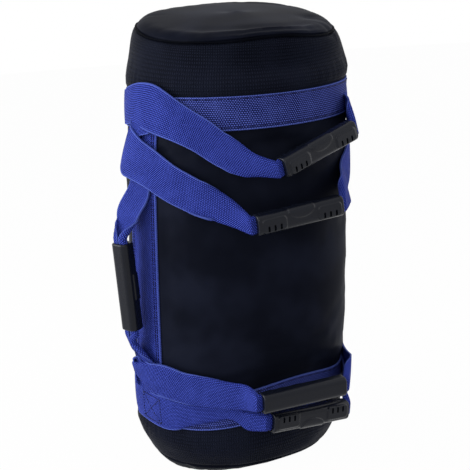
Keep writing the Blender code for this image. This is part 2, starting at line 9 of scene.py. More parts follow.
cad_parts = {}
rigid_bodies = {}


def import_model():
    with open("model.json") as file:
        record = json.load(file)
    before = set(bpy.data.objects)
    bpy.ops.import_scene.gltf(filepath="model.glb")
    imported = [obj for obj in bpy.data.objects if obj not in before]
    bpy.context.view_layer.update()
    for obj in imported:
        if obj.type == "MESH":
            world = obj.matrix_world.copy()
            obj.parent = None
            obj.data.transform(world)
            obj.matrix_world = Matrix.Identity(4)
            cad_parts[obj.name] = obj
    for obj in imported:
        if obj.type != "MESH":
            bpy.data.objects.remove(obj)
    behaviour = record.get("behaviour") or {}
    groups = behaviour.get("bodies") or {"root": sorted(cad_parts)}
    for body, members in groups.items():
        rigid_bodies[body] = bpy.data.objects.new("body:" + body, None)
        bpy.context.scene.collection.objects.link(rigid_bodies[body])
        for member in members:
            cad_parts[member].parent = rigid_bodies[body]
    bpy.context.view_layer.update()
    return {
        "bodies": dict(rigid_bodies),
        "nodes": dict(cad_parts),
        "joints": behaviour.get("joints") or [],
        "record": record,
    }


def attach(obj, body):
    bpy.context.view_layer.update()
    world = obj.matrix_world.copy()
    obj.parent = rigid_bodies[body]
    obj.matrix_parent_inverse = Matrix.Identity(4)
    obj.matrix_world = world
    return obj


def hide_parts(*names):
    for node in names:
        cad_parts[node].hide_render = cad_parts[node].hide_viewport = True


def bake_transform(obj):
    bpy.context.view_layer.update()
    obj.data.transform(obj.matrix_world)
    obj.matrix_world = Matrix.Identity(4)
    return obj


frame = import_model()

# Units of the tables
MILLIMETRE = 0.001
DEGREE = math.radians(1)

# Bag outside, in metres
BAG_HEIGHT = 0.502
BAG_RADIUS = 0.127
WALL_DRAW_IN = 0.0065
BASE_RADIUS = 0.060
BASE_CORNER_HEIGHT = 0.062
RIM_RADIUS = 0.098
TOP_CORNER_HEIGHT = 0.060
WIDEST_SHARE = 0.573

# How the filled bag has settled
LEAN_X_SHARE = 0.049
LEAN_Y_SHARE = -0.033
TOP_SLUMP_SHARE = 0.19
SLUMP_FROM_AZIMUTH = math.radians(-12)
RING_RISE = 0.020
RING_RISE_AZIMUTH = math.radians(-5)
RING_RISE_SPREAD = math.radians(35)
UPPER_SQUEEZE = 0.0042
LOWER_SQUEEZE = 0.0042
SQUEEZE_SPREAD = 0.036

# Skin and what lies under it
SKIN_THICKNESS = 0.002
SKIN_STEP = 0.0038
SKIN_COLUMNS = 216
CLOTH_STEP = 0.0055
CLOTH_COLUMNS = 150

# Webbing
WEB_THICKNESS = 0.0018
RING_WIDTH = 0.038
STRIP_WIDTH = 0.050
UPPER_RING_FROM_TOP = 0.082
LOWER_RING_HEIGHT = 0.086
STRIP_TUCK = 0.014
STEP_LENGTH = 0.010
LAYER_GAP = 0.0003
RING_COLUMNS = 288
RING_ROWS = 8

# Handle straps
STRAP_WIDTH = 0.038
STRAP_STEP = 0.003
STRAP_COLUMNS = 20
MOUTH_WIDTH = 0.0172
MOUTH_RUN = 0.006
CURL_RADIUS = 0.0026

# Moulded grips
GRIP_LENGTH = 0.100
GRIP_WIDTH = 0.022
GRIP_THICKNESS = 0.018

UPPER_RING_HEIGHT = BAG_HEIGHT - UPPER_RING_FROM_TOP
WALL_TOP = BAG_HEIGHT - TOP_CORNER_HEIGHT
BOTTOM_SEAM_TURN = math.radians(-45)
TOP_SEAM_TURN = math.radians(60)


def smooth_step(share):
    """Ease from 0 to 1."""
    share = np.clip(share, 0.0, 1.0)
    return share * share * (3 - 2 * share)


def bell(value, middle, spread):
    """Hump of height 1 round a middle."""
    return np.exp(-(((value - middle) / spread) ** 2))


def wall_radius(height):
    """Radius of the filled wall, widest a little above its middle."""
    widest = WIDEST_SHARE * BAG_HEIGHT
    return BAG_RADIUS - WALL_DRAW_IN * ((height - widest) / widest) ** 2


def outward_at(azimuth):
    """Outward directions at azimuths, where 0 faces the front (-Y) and 90 degrees is +X."""
    return np.stack([np.sin(azimuth), -np.cos(azimuth), np.zeros_like(azimuth)], axis=-1)


def heading(azimuth):
    """Level direction outwards at one azimuth."""
    return Vector(outward_at(azimuth))


def azimuth_at(along):
    """Azimuth of a way round the bag, which runs from 0 to 1 and starts and ends at the back."""
    return (along * 2 - 1) * math.pi


def leaned(points):
    """Lean of the whole bag."""
    height = points[..., 2]
    lean = np.stack([LEAN_X_SHARE * height, LEAN_Y_SHARE * height, np.zeros_like(height)], axis=-1)
    return points + lean


BAG_UP = Vector(leaned(np.array((0.0, 0.0, 1.0)))).normalized()


def settled(points):
    """Straight bag to settled bag: top slumped to one side, lower ring drawn up in front."""
    height = points[..., 2]
    above_ring = (height - UPPER_RING_HEIGHT) / (BAG_HEIGHT - UPPER_RING_HEIGHT)
    slump = TOP_SLUMP_SHARE * smooth_step(above_ring) * (points @ outward_at(SLUMP_FROM_AZIMUTH))
    azimuth = np.arctan2(points[..., 0], -points[..., 1])
    reach = np.hypot(points[..., 0], points[..., 1]) / BAG_RADIUS
    below = smooth_step(height / LOWER_RING_HEIGHT)
    above = smooth_step((height - LOWER_RING_HEIGHT) / LOWER_RING_HEIGHT)
    hump = bell(azimuth, RING_RISE_AZIMUTH, RING_RISE_SPREAD)
    rise = RING_RISE * hump * np.minimum(reach, 1.0) * below * (1 - above)
    moved = points.copy()
    moved[..., 2] += rise - slump
    return leaned(moved)


def wall_points(azimuth, height, lift):
    """Points on the straight wall, lifted off it."""
    azimuth, height, lift = np.broadcast_arrays(azimuth, height, lift)
    points = outward_at(azimuth) * (wall_radius(height) + lift)[..., None]
    points[..., 2] = height
    return points


def squeeze(height):
    """Depth by which the two tight rings draw the wall in."""
    upper = UPPER_SQUEEZE * bell(height, UPPER_RING_HEIGHT, SQUEEZE_SPREAD)
    return upper + LOWER_SQUEEZE * bell(height, LOWER_RING_HEIGHT, SQUEEZE_SPREAD)


def beside(row):
    """Point beside the leaning wall, from its azimuth in degrees and its height and lift in mm."""
    azimuth, height, lift = row
    height, lift = height * MILLIMETRE, lift * MILLIMETRE
    return leaned(wall_points(azimuth * DEGREE, height, lift - squeeze(height)))


# Meshes

MERGE_DISTANCE = 0.00005
SHARP_ANGLE = math.radians(40)


def deselect():
    """Leave edit mode and drop the selection."""
    if bpy.context.object and bpy.context.object.mode != "OBJECT":
        bpy.ops.object.mode_set(mode="OBJECT")
    bpy.ops.object.select_all(action="DESELECT")


def select(piece):
    """Select one piece alone."""
    deselect()
    piece.select_set(True)
    bpy.context.view_layer.objects.active = piece


def added(operator, **settings):
    """Piece that an operator adds to the scene."""
    deselect()
    operator(**settings)
    return bpy.context.object


def in_scene(name, data):
    """New object in the scene that holds the data."""
    holder = bpy.data.objects.new(name, data)
    bpy.context.scene.collection.objects.link(holder)
    return holder


def edit_whole(piece, operator, **settings):
    """Run an operator of edit mode on the whole of a piece."""
    select(piece)
    bpy.ops.object.mode_set(mode="EDIT")
    bpy.ops.mesh.select_all(action="SELECT")
    operator(**settings)
    bpy.ops.object.mode_set(mode="OBJECT")


def apply_modifier(piece, name, kind, **settings):
    """Add a modifier and apply it."""
    select(piece)
    step = piece.modifiers.new(name, kind)
    for key, value in settings.items():
        setattr(step, key, value)
    bpy.ops.object.modifier_apply(modifier=step.name)


def coordinates(mesh):
    """Vertex places of a mesh as rows."""
    places = np.empty(len(mesh.vertices) * 3)
    mesh.vertices.foreach_get("co", places)
    return places.reshape(-1, 3)


def place_vertices(mesh, places):
    """Write vertex places."""
    mesh.vertices.foreach_set("co", np.ascontiguousarray(places, dtype=float).ravel())
    mesh.update()


def laid_grid(name, columns, rows, place, size):
    """Lay a flat grid by a function of the way along it and up it, each 0 to 1. Its UV map holds
    the same ways times the size of the cloth in metres."""
    piece = added(bpy.ops.mesh.primitive_grid_add, x_subdivisions=columns, y_subdivisions=rows, size=1)
    piece.name = name
    mesh = piece.data
    mesh.name = name
    ways = coordinates(mesh)[:, :2] + 0.5
    place_vertices(mesh, place(ways[:, 0], ways[:, 1]))
    layer = mesh.uv_layers.active.data
    uvs = np.empty(len(layer) * 2)
    layer.foreach_get("uv", uvs)
    uvs = uvs.reshape(-1, 2) * np.array(size)
    layer.foreach_set("uv", uvs.ravel())
    return piece


def close_seams(piece):
    """Merge the vertices that meet at seams and poles."""
    edit_whole(piece, bpy.ops.mesh.remove_doubles, threshold=MERGE_DISTANCE)


def face_outward(piece):
    """Turn the normals of a closed piece outwards."""
    edit_whole(piece, bpy.ops.mesh.normals_make_consistent, inside=False)


def smooth_by_angle(piece):
    """Smooth shading that keeps hard edges."""
    select(piece)
    bpy.ops.object.shade_smooth_by_angle(angle=SHARP_ANGLE)


def dressed(piece, body, nodes, finish):
    """Give a piece its finish, hide the nodes that it stands for, and attach it to its body where a single
    body is named; a piece given two bodies has only its transform baked.
    """
    piece.data.materials.clear()
    piece.data.materials.append(finish)
    if isinstance(body, str):
        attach(piece, body)
    else:
        first, second, start, end = body
        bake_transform(piece)
        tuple(start)
        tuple(end)
    if nodes:
        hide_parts(*nodes)
    return piece


# Skin of the bag. A way runs from the middle of the top (0) down to the middle of the base (1).

PROFILE_POINTS = 60


def oval_corner(radius, height, reach, rise, first_turn, last_turn, count):
    """Points on an oval corner from one turn to another."""
    turns = np.linspace(first_turn, last_turn, count)
    return np.stack([radius + reach * np.cos(turns), height + rise * np.sin(turns)], axis=-1)


def panel_profiles():
    """Profile of each panel of the skin as radius and height, from top to bottom."""
    count = PROFILE_POINTS
    top_reach = wall_radius(WALL_TOP) - RIM_RADIUS
    base_reach = wall_radius(BASE_CORNER_HEIGHT) - BASE_RADIUS
    upper_heights = np.linspace(WALL_TOP, UPPER_RING_HEIGHT, count)
    body_heights = np.linspace(UPPER_RING_HEIGHT, LOWER_RING_HEIGHT, count)
    lower_heights = np.linspace(LOWER_RING_HEIGHT, BASE_CORNER_HEIGHT, count)

    def straight(heights):
        """Stretch of the wall."""
        return np.stack([wall_radius(heights), heights], axis=-1)

    flat_top = np.array([[0, BAG_HEIGHT]])
    flat_base = np.array([[0, 0]])
    top_edge = oval_corner(RIM_RADIUS, WALL_TOP, top_reach, TOP_CORNER_HEIGHT,
                           math.pi / 2, TOP_SEAM_TURN, count)
    shoulder = oval_corner(RIM_RADIUS, WALL_TOP, top_reach, TOP_CORNER_HEIGHT,
                           TOP_SEAM_TURN, 0, count)
    heel = oval_corner(BASE_RADIUS, BASE_CORNER_HEIGHT, base_reach, BASE_CORNER_HEIGHT,
                       0, BOTTOM_SEAM_TURN, count)
    base_edge = oval_corner(BASE_RADIUS, BASE_CORNER_HEIGHT, base_reach, BASE_CORNER_HEIGHT,
                            BOTTOM_SEAM_TURN, -math.pi / 2, count)
    return {
        "top_panel": np.concatenate([flat_top, top_edge]),
        "upper_collar": np.concatenate([shoulder, straight(upper_heights)[1:]]),
        "body_panel": straight(body_heights),
        "lower_collar": np.concatenate([straight(lower_heights), heel[1:]]),
        "bottom_panel": np.concatenate([base_edge, flat_base]),
    }


def profile_lengths(profile):
    """Distance run along a profile at each of its points."""
    runs = np.hypot(*np.diff(profile, axis=0).T)
    return np.concatenate([[0.0], np.cumsum(runs)])


PROFILES = panel_profiles()
PANEL_NAMES = list(PROFILES)
PANEL_LENGTHS = {name: profile_lengths(profile)[-1] for name, profile in PROFILES.items()}
PANEL_STARTS = dict(zip(PANEL_NAMES, np.concatenate([[0.0], np.cumsum(list(PANEL_LENGTHS.values()))])))
SKIN_LENGTH = sum(PANEL_LENGTHS.values())
WHOLE_PROFILE = np.concatenate([PROFILES[name][1:] if name != "top_panel" else PROFILES[name]
                                for name in PANEL_NAMES])
WHOLE_LENGTHS = profile_lengths(WHOLE_PROFILE)


def profile_at(distance):
    """Radius and height of the unsettled skin at a distance from the middle of the top."""
    return (np.interp(distance, WHOLE_LENGTHS, WHOLE_PROFILE[:, 0]),
            np.interp(distance, WHOLE_LENGTHS, WHOLE_PROFILE[:, 1]))


def distance_at_height(height):
    """Distance along the skin, from the middle of the top, at a height on the wall."""
    wall = (WHOLE_PROFILE[:, 1] < WALL_TOP) & (WHOLE_PROFILE[:, 1] > BASE_CORNER_HEIGHT)
    return np.interp(-np.asarray(height), -WHOLE_PROFILE[wall, 1], WHOLE_LENGTHS[wall])


def cloth_grid():
    """Rest places of the skin on a regular grid, rows from top to base, columns round it."""
    rows = round(SKIN_LENGTH / CLOTH_STEP)
    distance = np.linspace(0, SKIN_LENGTH, rows + 1)[:, None]
    azimuth = (np.arange(CLOTH_COLUMNS) / CLOTH_COLUMNS * 2 - 1)[None, :] * math.pi
    radius, height = profile_at(distance)
    radius = radius + np.zeros_like(azimuth)
    height = height + np.zeros_like(azimuth)
    points = outward_at(azimuth + np.zeros_like(radius)) * radius[..., None]
    points[..., 2] = height
    return settled(points), distance + np.zeros_like(azimuth), azimuth + np.zeros_like(distance)


def sampled(grid, distance, azimuth):
    """Smooth sample of a grid of places at distances along the skin and azimuths."""
    rows, columns = grid.shape[0] - 1, grid.shape[1]
    row_way = np.clip(distance / SKIN_LENGTH, 0, 1) * rows
    column_way = (azimuth / math.pi + 1) / 2 * columns
    row = np.clip(np.floor(row_way).astype(int), 0, rows - 1)
    column = np.floor(column_way).astype(int)
    row_share = row_way - row
    column_share = column_way - column

    def weights(share):
        """Cubic weights of four neighbours."""
        return np.stack([
            -0.5 * share + share ** 2 - 0.5 * share ** 3,
            1 - 2.5 * share ** 2 + 1.5 * share ** 3,
            0.5 * share + 2 * share ** 2 - 1.5 * share ** 3,
            -0.5 * share ** 2 + 0.5 * share ** 3,
        ])

    row_weights = weights(row_share)
    column_weights = weights(column_share)
    total = np.zeros(np.shape(distance) + (3,))
    for i in range(4):
        near_row = np.clip(row + i - 1, 0, rows)
        for j in range(4):
            near_column = (column + j - 1) % columns
            share = row_weights[i] * column_weights[j]
            total += grid[near_row, near_column] * share[..., None]
    return total


REST_PLACES, REST_DISTANCE, REST_AZIMUTH = cloth_grid()
SKIN_SHAPE = {"places": REST_PLACES}
SMALLEST_LENGTH = 1e-9


def skin_normals(places, distance, azimuth):
    """Outward directions of a shape of the skin."""
    step = CLOTH_STEP
    down = sampled(places, distance + step, azimuth) - sampled(places, distance - step, azimuth)
    turn = step / BAG_RADIUS
    round_it = sampled(places, distance, azimuth + turn) - sampled(places, distance, azimuth - turn)
    normal = np.cross(down, round_it)
    length = np.linalg.norm(normal, axis=-1, keepdims=True)
    return normal / np.maximum(length, SMALLEST_LENGTH)


def lifted_places(places, distance, azimuth, lift):
    """Places on a shape of the skin, lifted along its outward direction."""
    return sampled(places, distance, azimuth) + skin_normals(places, distance, azimuth) * lift[..., None]


def skin_places(distance, azimuth, lift):
    """Places on the settled skin, lifted along its outward direction."""
    return lifted_places(SKIN_SHAPE["places"], distance, azimuth, lift)


# How the skin swells as cloth, and how far
CLOTH_QUALITY = 6
CLOTH_MASS = 0.3
CLOTH_STIFFNESS = 20
CLOTH_BENDING = 0.3
CLOTH_PRESSURE = 4
CLOTH_GROWTH = 0.02
CLOTH_FRAMES = 20
HELD_FADE = 0.012
RIM_WRINKLE_SHARE = 0.45
WALL_WRINKLE_SHARE = 0.6
SWELL_CAP = 0.0026
DENT_CAP = 0.006

# How the filling lifts the top
TOP_CROWN = 0.007
TOP_LIFT = 0.0065
TILT_LIFT = 0.002
PUCKER_LIFT = 0.0075
PUCKER_AZIMUTH = math.radians(-17)
PUCKER_SPREAD = math.radians(40)

# Heights down the wall, and the distances along the skin where they lie
WALL_POINTS = 40
WALL_HEIGHTS = np.linspace(WALL_TOP, BASE_CORNER_HEIGHT, WALL_POINTS)
WALL_RUN = distance_at_height(WALL_HEIGHTS)

# Hollows and folds, one a row: the azimuth of its middle and its spread in degrees, then in
# millimetres its way down the skin from a seam, its spread along the skin, and its depth, which
# is positive outwards. The ways of the settled sides run from the edge of the flat base.

COLLAR_DENTS = [
    (-14, 34, 16, 11, -6.5), (-62, 16, 24, 11, -2), (36, 14, 28, 12, -2.4), (-108, 20, 22, 12, -1.6),
    (96, 26, 20, 12, -2.2), (160, 30, 24, 14, -2.6), (-150, 18, 30, 12, -1.4),
]
TOP_FOLDS = [
    (-12, 30, -4, 3.5, 2.6), (-12, 34, -16, 4.5, 1.8), (-6, 36, -27, 7, -1.8),
    (34, 10, -26, 7, 1.6), (52, 9, -34, 8, -1.8), (66, 10, -24, 6, 1.2), (-60, 14, -30, 10, -0.9),
    (140, 30, -26, 9, -1.4), (-130, 24, -22, 8, 0.9),
]
BASE_DENTS = [
    (-20, 10, -14, 7, -1.7), (2, 8, -20, 6, -1.6), (22, 9, -13, 7, -1.8), (-48, 9, -12, 8, -1.3),
    (48, 10, -18, 8, -1.6), (-80, 12, -16, 8, -1.2), (84, 12, -12, 7, -1.3), (120, 14, -16, 8, -1.5),
    (160, 12, -12, 7, -1.2), (-115, 12, -14, 8, -1.4), (-155, 12, -18, 8, -1.3),
]
SETTLED_SIDES = [
    (-6, 34, -16, 22, -10), (34, 26, -42, 26, 2.5), (-100, 44, -26, 24, 7),
]
SETTLED_RIM = [
    (-14, 36, -1, 6, 4.2), (-12, 30, 20, 12, -8.5), (-8, 34, 46, 13, 2.2), (60, 34, 12, 26, -1.5),
    (-122, 34, 34, 24, -2), (74, 30, -6, 16, -2.6), (50, 42, 215, 90, -1.7), (180, 34, -4, 18, -3.8),
]
BODY_DENTS = [
    (-20, 26, 36, 16, -1.1), (14, 22, 120, 34, -1.3), (-48, 20, 190, 40, -1.0), (30, 20, 250, 30, -1.2),
    (-110, 30, 120, 50, -1.2), (150, 34, 90, 40, -1.6), (-160, 30, 210, 44, -1.4), (92, 20, 180, 60, -0.9),
]


def dents(rows, start, distance, azimuth):
    """Depth of a list of dents whose ways run down the skin from a start."""
    depth = np.zeros(np.broadcast(distance, azimuth).shape)
    for middle, spread, way, length, height in rows:
        off = (azimuth - middle * DEGREE + math.pi) % (2 * math.pi) - math.pi
        along = bell(distance - start, way * MILLIMETRE, length * MILLIMETRE)
        depth = depth + height * MILLIMETRE * bell(off, 0, spread * DEGREE) * along
    return depth


def held_share(distance, azimuth):
    """How firmly the webbing and the floor hold the skin, from 0 to 1."""
    held = np.zeros(np.broadcast(distance, azimuth).shape)
    half = RING_WIDTH / 2
    for height in (UPPER_RING_HEIGHT, LOWER_RING_HEIGHT):
        off = np.abs(distance - distance_at_height(height))
        held = np.maximum(held, smooth_step((half + HELD_FADE - off) / HELD_FADE))
    strip_off = np.abs(np.abs(azimuth) - math.pi / 2) * BAG_RADIUS - STRIP_WIDTH / 2
    below_upper = distance > distance_at_height(UPPER_RING_HEIGHT)
    above_lower = distance < distance_at_height(LOWER_RING_HEIGHT)
    by_strip = smooth_step(1 - strip_off / HELD_FADE)
    held = np.maximum(held, np.where(below_upper & above_lower, by_strip, 0.0))
    on_floor = SKIN_LENGTH - BASE_RADIUS
    return np.maximum(held, smooth_step((distance - on_floor) / HELD_FADE))


def swollen():
    """Skin as cloth under the pressure of its filling, held by the webbing and the floor."""
    rows, columns = REST_PLACES.shape[0] - 1, REST_PLACES.shape[1]

    def place(along, up):
        """Places on the skin at rest, from the middle of the base to the middle of the top."""
        return sampled(REST_PLACES, (1 - up) * SKIN_LENGTH, azimuth_at(along))

    cloth = laid_grid("swelling_skin", columns, rows, place, (1, 1))
    close_seams(cloth)
    start = coordinates(cloth.data)
    tree = KDTree(REST_PLACES.size // 3)
    for index, point in enumerate(REST_PLACES.reshape(-1, 3)):
        tree.insert(point, index)
    tree.balance()
    nearest = np.array([tree.find(point)[1] for point in start])
    held = held_share(REST_DISTANCE, REST_AZIMUTH).reshape(-1)[nearest]
    group = cloth.vertex_groups.new(name="held")
    for share in np.unique(np.round(held, 1)):
        members = np.flatnonzero(np.round(held, 1) == share)
        group.add(members.tolist(), float(share), "REPLACE")
    select(cloth)
    step = cloth.modifiers.new("swelling", "CLOTH")
    step.settings.quality = CLOTH_QUALITY
    step.settings.mass = CLOTH_MASS
    step.settings.tension_stiffness = CLOTH_STIFFNESS
    step.settings.compression_stiffness = CLOTH_STIFFNESS
    step.settings.bending_stiffness = CLOTH_BENDING
    step.settings.use_pressure = True
    step.settings.uniform_pressure_force = CLOTH_PRESSURE
    step.settings.shrink_min = -CLOTH_GROWTH
    step.settings.vertex_group_mass = "held"
    step.settings.effector_weights.gravity = 0
    for moment in range(CLOTH_FRAMES):
        bpy.context.scene.frame_set(moment + 1)
    bpy.ops.object.modifier_apply(modifier=step.name)
    moved = coordinates(cloth.data) - start
    bpy.data.objects.remove(cloth, do_unlink=True)
    bpy.context.scene.frame_set(1)
    shift = np.zeros((REST_PLACES.size // 3, 3))
    shift[nearest] = moved
    shift = shift.reshape(REST_PLACES.shape)
    shift[0] = shift[1].mean(axis=0)
    shift[-1] = 0
    return shift


def wrinkle_share(distance):
    """Share of the wrinkles that is kept: little on the taut wall, none at the two poles."""
    rim = PANEL_LENGTHS["top_panel"]
    top = smooth_step(distance / rim - 1 + RIM_WRINKLE_SHARE)
    base = smooth_step((SKIN_LENGTH - BASE_RADIUS - distance) / HELD_FADE)
    wall = (distance > PANEL_STARTS["body_panel"]) & (distance < PANEL_STARTS["lower_collar"])
    return np.where(wall, WALL_WRINKLE_SHARE, 1.0) * top * base


def settle_skin():
    """Swell the skin, press in its dents and keep what moves it within the cap."""
    distance, azimuth = REST_DISTANCE, REST_AZIMUTH
    normals = skin_normals(REST_PLACES, distance, azimuth)
    rise = np.zeros(distance.shape)
    rise = np.sum(swollen() * normals, axis=-1)
    rise = (rise - rise.mean(axis=1, keepdims=True)) * wrinkle_share(distance)
    top_seam = PANEL_STARTS["upper_collar"]
    for rows, start in ((COLLAR_DENTS, top_seam), (TOP_FOLDS, top_seam),
                        (BODY_DENTS, PANEL_STARTS["body_panel"]),
                        (BASE_DENTS, PANEL_STARTS["bottom_panel"])):
        rise = rise + dents(rows, start, distance, azimuth)
    crown = TOP_CROWN * (1 - smooth_step(distance / PANEL_LENGTHS["top_panel"]))
    sides = dents(SETTLED_SIDES, SKIN_LENGTH - BASE_RADIUS, distance, azimuth)
    rim = dents(SETTLED_RIM, top_seam, distance, azimuth)
    free = 1 - held_share(distance, azimuth)
    drawn_in = np.interp(distance, WALL_RUN, squeeze(WALL_HEIGHTS), 0, 0)
    rise = np.clip(rise * free, -DENT_CAP, SWELL_CAP) + crown + (sides + rim) * free - drawn_in
    places = REST_PLACES + normals * rise[..., None]
    places[..., 2] += top_lift(distance, azimuth)
    places[0] = places[1].mean(axis=0)
    SKIN_SHAPE["places"] = places


def top_lift(distance, azimuth):
    """How far the filling lifts the top, most where its rim puckers in front."""
    rim = PANEL_LENGTHS["top_panel"]
    band = distance_at_height(UPPER_RING_HEIGHT + RING_WIDTH / 2)
    lift = TOP_LIFT + TILT_LIFT * np.cos(azimuth - PUCKER_AZIMUTH)
    pucker = PUCKER_LIFT * bell(azimuth, PUCKER_AZIMUTH, PUCKER_SPREAD)
    pucker = pucker * smooth_step(distance / rim)
    return (lift + pucker) * smooth_step((band - distance) / (band - rim))


# How deep the seams lie, and how a panel's rows crowd together at them
SEAM_TUCK = 0.0032
SEAM_SPREAD = 0.0017
FEWEST_ROWS = 16
CROWDING_SHARE = 0.85

# Turned edge of the top seam
WELT_RADIUS = 0.0010
WELT_LIFT = -0.0004
WELT_SIDES = 8
WELT_WANDER = 0.0008
WELT_WAVES = 7

# Foam under the skin
UNDER_SKIN = 0.0023
TOP_FOAM = 0.007
WALL_FOAM = 0.006
THINNEST_FOAM = 0.0015
PRESSED_SHARE = 0.3
CAP_SHARE = 0.28
FOAM_STEP = 0.0075
FEWEST_FOAM_ROWS = 6
FOAM_COLUMNS = 120


def seam_tuck(distance):
    """Depth by which the skin is drawn in along its seams."""
    depth = np.zeros_like(distance)
    for name in ("upper_collar", "bottom_panel"):
        depth = depth + SEAM_TUCK * bell(distance, PANEL_STARTS[name], SEAM_SPREAD)
    return depth


def skin_panel(name, leather):
    """One sewn panel of the skin, with the thickness of its cloth."""
    start, length = PANEL_STARTS[name], PANEL_LENGTHS[name]
    rows = max(round(length / SKIN_STEP), FEWEST_ROWS)

    def place(along, up):
        """Outer face of the panel, its rows crowded together at the seams."""
        azimuth = azimuth_at(along)
        crowded = 1 - up + CROWDING_SHARE * np.sin(2 * math.pi * up) / (2 * math.pi)
        distance = start + crowded * length
        return skin_places(distance, azimuth, -seam_tuck(distance))

    panel = laid_grid(name + "_cover", SKIN_COLUMNS, rows, place, (2 * math.pi * BAG_RADIUS, length))
    close_seams(panel)
    apply_modifier(panel, "thickness", "SOLIDIFY", thickness=SKIN_THICKNESS, offset=-1)
    smooth_by_angle(panel)
    dressed(panel, "bag", (name,), leather)
    return panel


def seam_welt(name, seam, node, leather):
    """Narrow turned edge of leathercloth that stands out of a seam all the way round."""
    middle = PANEL_STARTS[seam]

    def place(along, round_it):
        """Surface of the turned edge."""
        azimuth = azimuth_at(along)
        turn = round_it * 2 * math.pi
        distance = middle + WELT_RADIUS * np.cos(turn) + WELT_WANDER * np.sin(WELT_WAVES * azimuth)
        return skin_places(distance, azimuth, WELT_LIFT + WELT_RADIUS * np.sin(turn))

    welt = laid_grid(name, SKIN_COLUMNS, WELT_SIDES, place, (2 * math.pi * RIM_RADIUS, WELT_RADIUS))
    close_seams(welt)
    face_outward(welt)
    smooth_by_angle(welt)
    return dressed(welt, "bag", (node,), leather)


def foam_layer(node, first, last, depth, foam):
    """Foam under the skin: its outer side follows the skin, its inner side keeps its place."""
    rows = max(round((last - first) / FOAM_STEP), FEWEST_FOAM_ROWS)
    steps = 2 * rows + 2

    def place(along, loop):
        """Surface of the layer: down its outer side, up its inner side and closed."""
        azimuth = azimuth_at(along)
        way = loop * steps
        outer = way <= rows
        share = np.where(outer, way, np.maximum(steps - 1 - way, 0)) / rows
        distance = first + share * (last - first)
        skin = skin_places(distance, azimuth, -UNDER_SKIN - seam_tuck(distance))
        inside = np.full_like(distance, -UNDER_SKIN - depth)
        rested = lifted_places(REST_PLACES, distance, azimuth, inside)
        thin = skin_places(distance, azimuth, np.full_like(distance, -UNDER_SKIN - THINNEST_FOAM))
        pressed = np.linalg.norm(skin - rested, axis=-1) < depth * PRESSED_SHARE
        inner = np.where(pressed[:, None], thin, rested)
        closing = np.round(way) == steps
        start = skin_places(np.full_like(distance, first), azimuth, np.full_like(distance, -UNDER_SKIN))
        layer = np.where(outer[:, None], skin, inner)
        return np.where(closing[:, None], start, layer)

    layer = laid_grid(node + "_layer", FOAM_COLUMNS, steps, place, (1, 1))
    close_seams(layer)
    face_outward(layer)
    smooth_by_angle(layer)
    dressed(layer, "bag", (node,), foam)


# Webbing that lies on the skin

EDGE_STITCH_INSET = 0.0032
RING_CROWN = 0.0003
RING_CROWN_POWER = 6
STRIP_COLUMNS = 12


def ring_lift(azimuth):
    """Ring bands step out over the side strips."""
    past_strip = np.abs(math.pi / 2 - np.abs(azimuth)) * BAG_RADIUS - STRIP_WIDTH / 2
    step = smooth_step(1 - past_strip / STEP_LENGTH)
    return LAYER_GAP + (WEB_THICKNESS + LAYER_GAP) * step


def web_on_skin(name, place, columns, rows, size, node, finish):
    """Web laid on the skin, with its thickness outwards."""
    web = laid_grid(name, columns, rows, place, size)
    close_seams(web)
    apply_modifier(web, "thickness", "SOLIDIFY", thickness=WEB_THICKNESS, offset=1)
    smooth_by_angle(web)
    return dressed(web, "bag", (node,), finish)


def ring_bands(finishes):
    """Webbing rings sewn round the upper and the lower seam, each with a row of stitches by
    either edge."""
    for node, height in (("upper_ring_band", UPPER_RING_HEIGHT), ("lower_ring_band", LOWER_RING_HEIGHT)):
        middle = distance_at_height(height)

        def place(along, across, middle=middle):
            """Inner face of the band."""
            azimuth = azimuth_at(along)
            distance = middle - (across - 0.5) * RING_WIDTH
            edge = np.abs(across - 0.5) * 2
            crown = RING_CROWN * (1 - edge ** RING_CROWN_POWER)
            return skin_places(distance, azimuth, ring_lift(azimuth) + crown)

        def outside(azimuth_run, across, middle=middle):
            """Outer face of the band, by the length run round it and across it."""
            azimuth = azimuth_run / BAG_RADIUS
            return skin_places(middle - across, azimuth, ring_lift(azimuth) + WEB_THICKNESS)

        size = (2 * math.pi * BAG_RADIUS, RING_WIDTH)
        web_on_skin(node + "_web", place, RING_COLUMNS, RING_ROWS, size, node, finishes["ring"])
        run = math.pi * BAG_RADIUS
        edge = RING_WIDTH / 2 - EDGE_STITCH_INSET
        lines = [((-run, edge), (run, edge)), ((-run, -edge), (run, -edge))]
        stitches(node + "_stitches", outside, lines, "bag", finishes["thread"])


def side_strips(finishes):
    """Webbing strips up both sides, their ends tucked under the rings, with two rows of
    stitches by either edge."""
    first = LOWER_RING_HEIGHT - RING_WIDTH / 2 + STRIP_TUCK
    last = UPPER_RING_HEIGHT + RING_WIDTH / 2 - STRIP_TUCK
    for node, side in (("left_strip", -1), ("right_strip", 1)):
        def place(along, up, side=side):
            """Inner face of the strip."""
            azimuth = side * math.pi / 2 + (along - 0.5) * STRIP_WIDTH / BAG_RADIUS
            distance = distance_at_height(first + up * (last - first))
            return skin_places(distance, azimuth, np.full_like(azimuth, LAYER_GAP))

        def outside(up, across, side=side):
            """Outer face of the strip, by the length run up it and across it."""
            azimuth = side * math.pi / 2 - across / BAG_RADIUS
            distance = distance_at_height(first + up)
            return skin_places(distance, azimuth, np.full_like(azimuth, LAYER_GAP + WEB_THICKNESS))

        rows = round((last - first) / STRAP_STEP)
        size = (STRIP_WIDTH, last - first)
        web_on_skin(node + "_web", place, STRIP_COLUMNS, rows, size, node, finishes["strip"])
        lines = []
        for across in (EDGE_STITCH_INSET, 2 * EDGE_STITCH_INSET):
            for edge in (-1, 1):
                offset = edge * (STRIP_WIDTH / 2 - across)
                lines.append(((STRIP_TUCK, offset), (last - first - STRIP_TUCK, offset)))
        stitches(node + "_stitches", outside, lines, "bag", finishes["thread"])


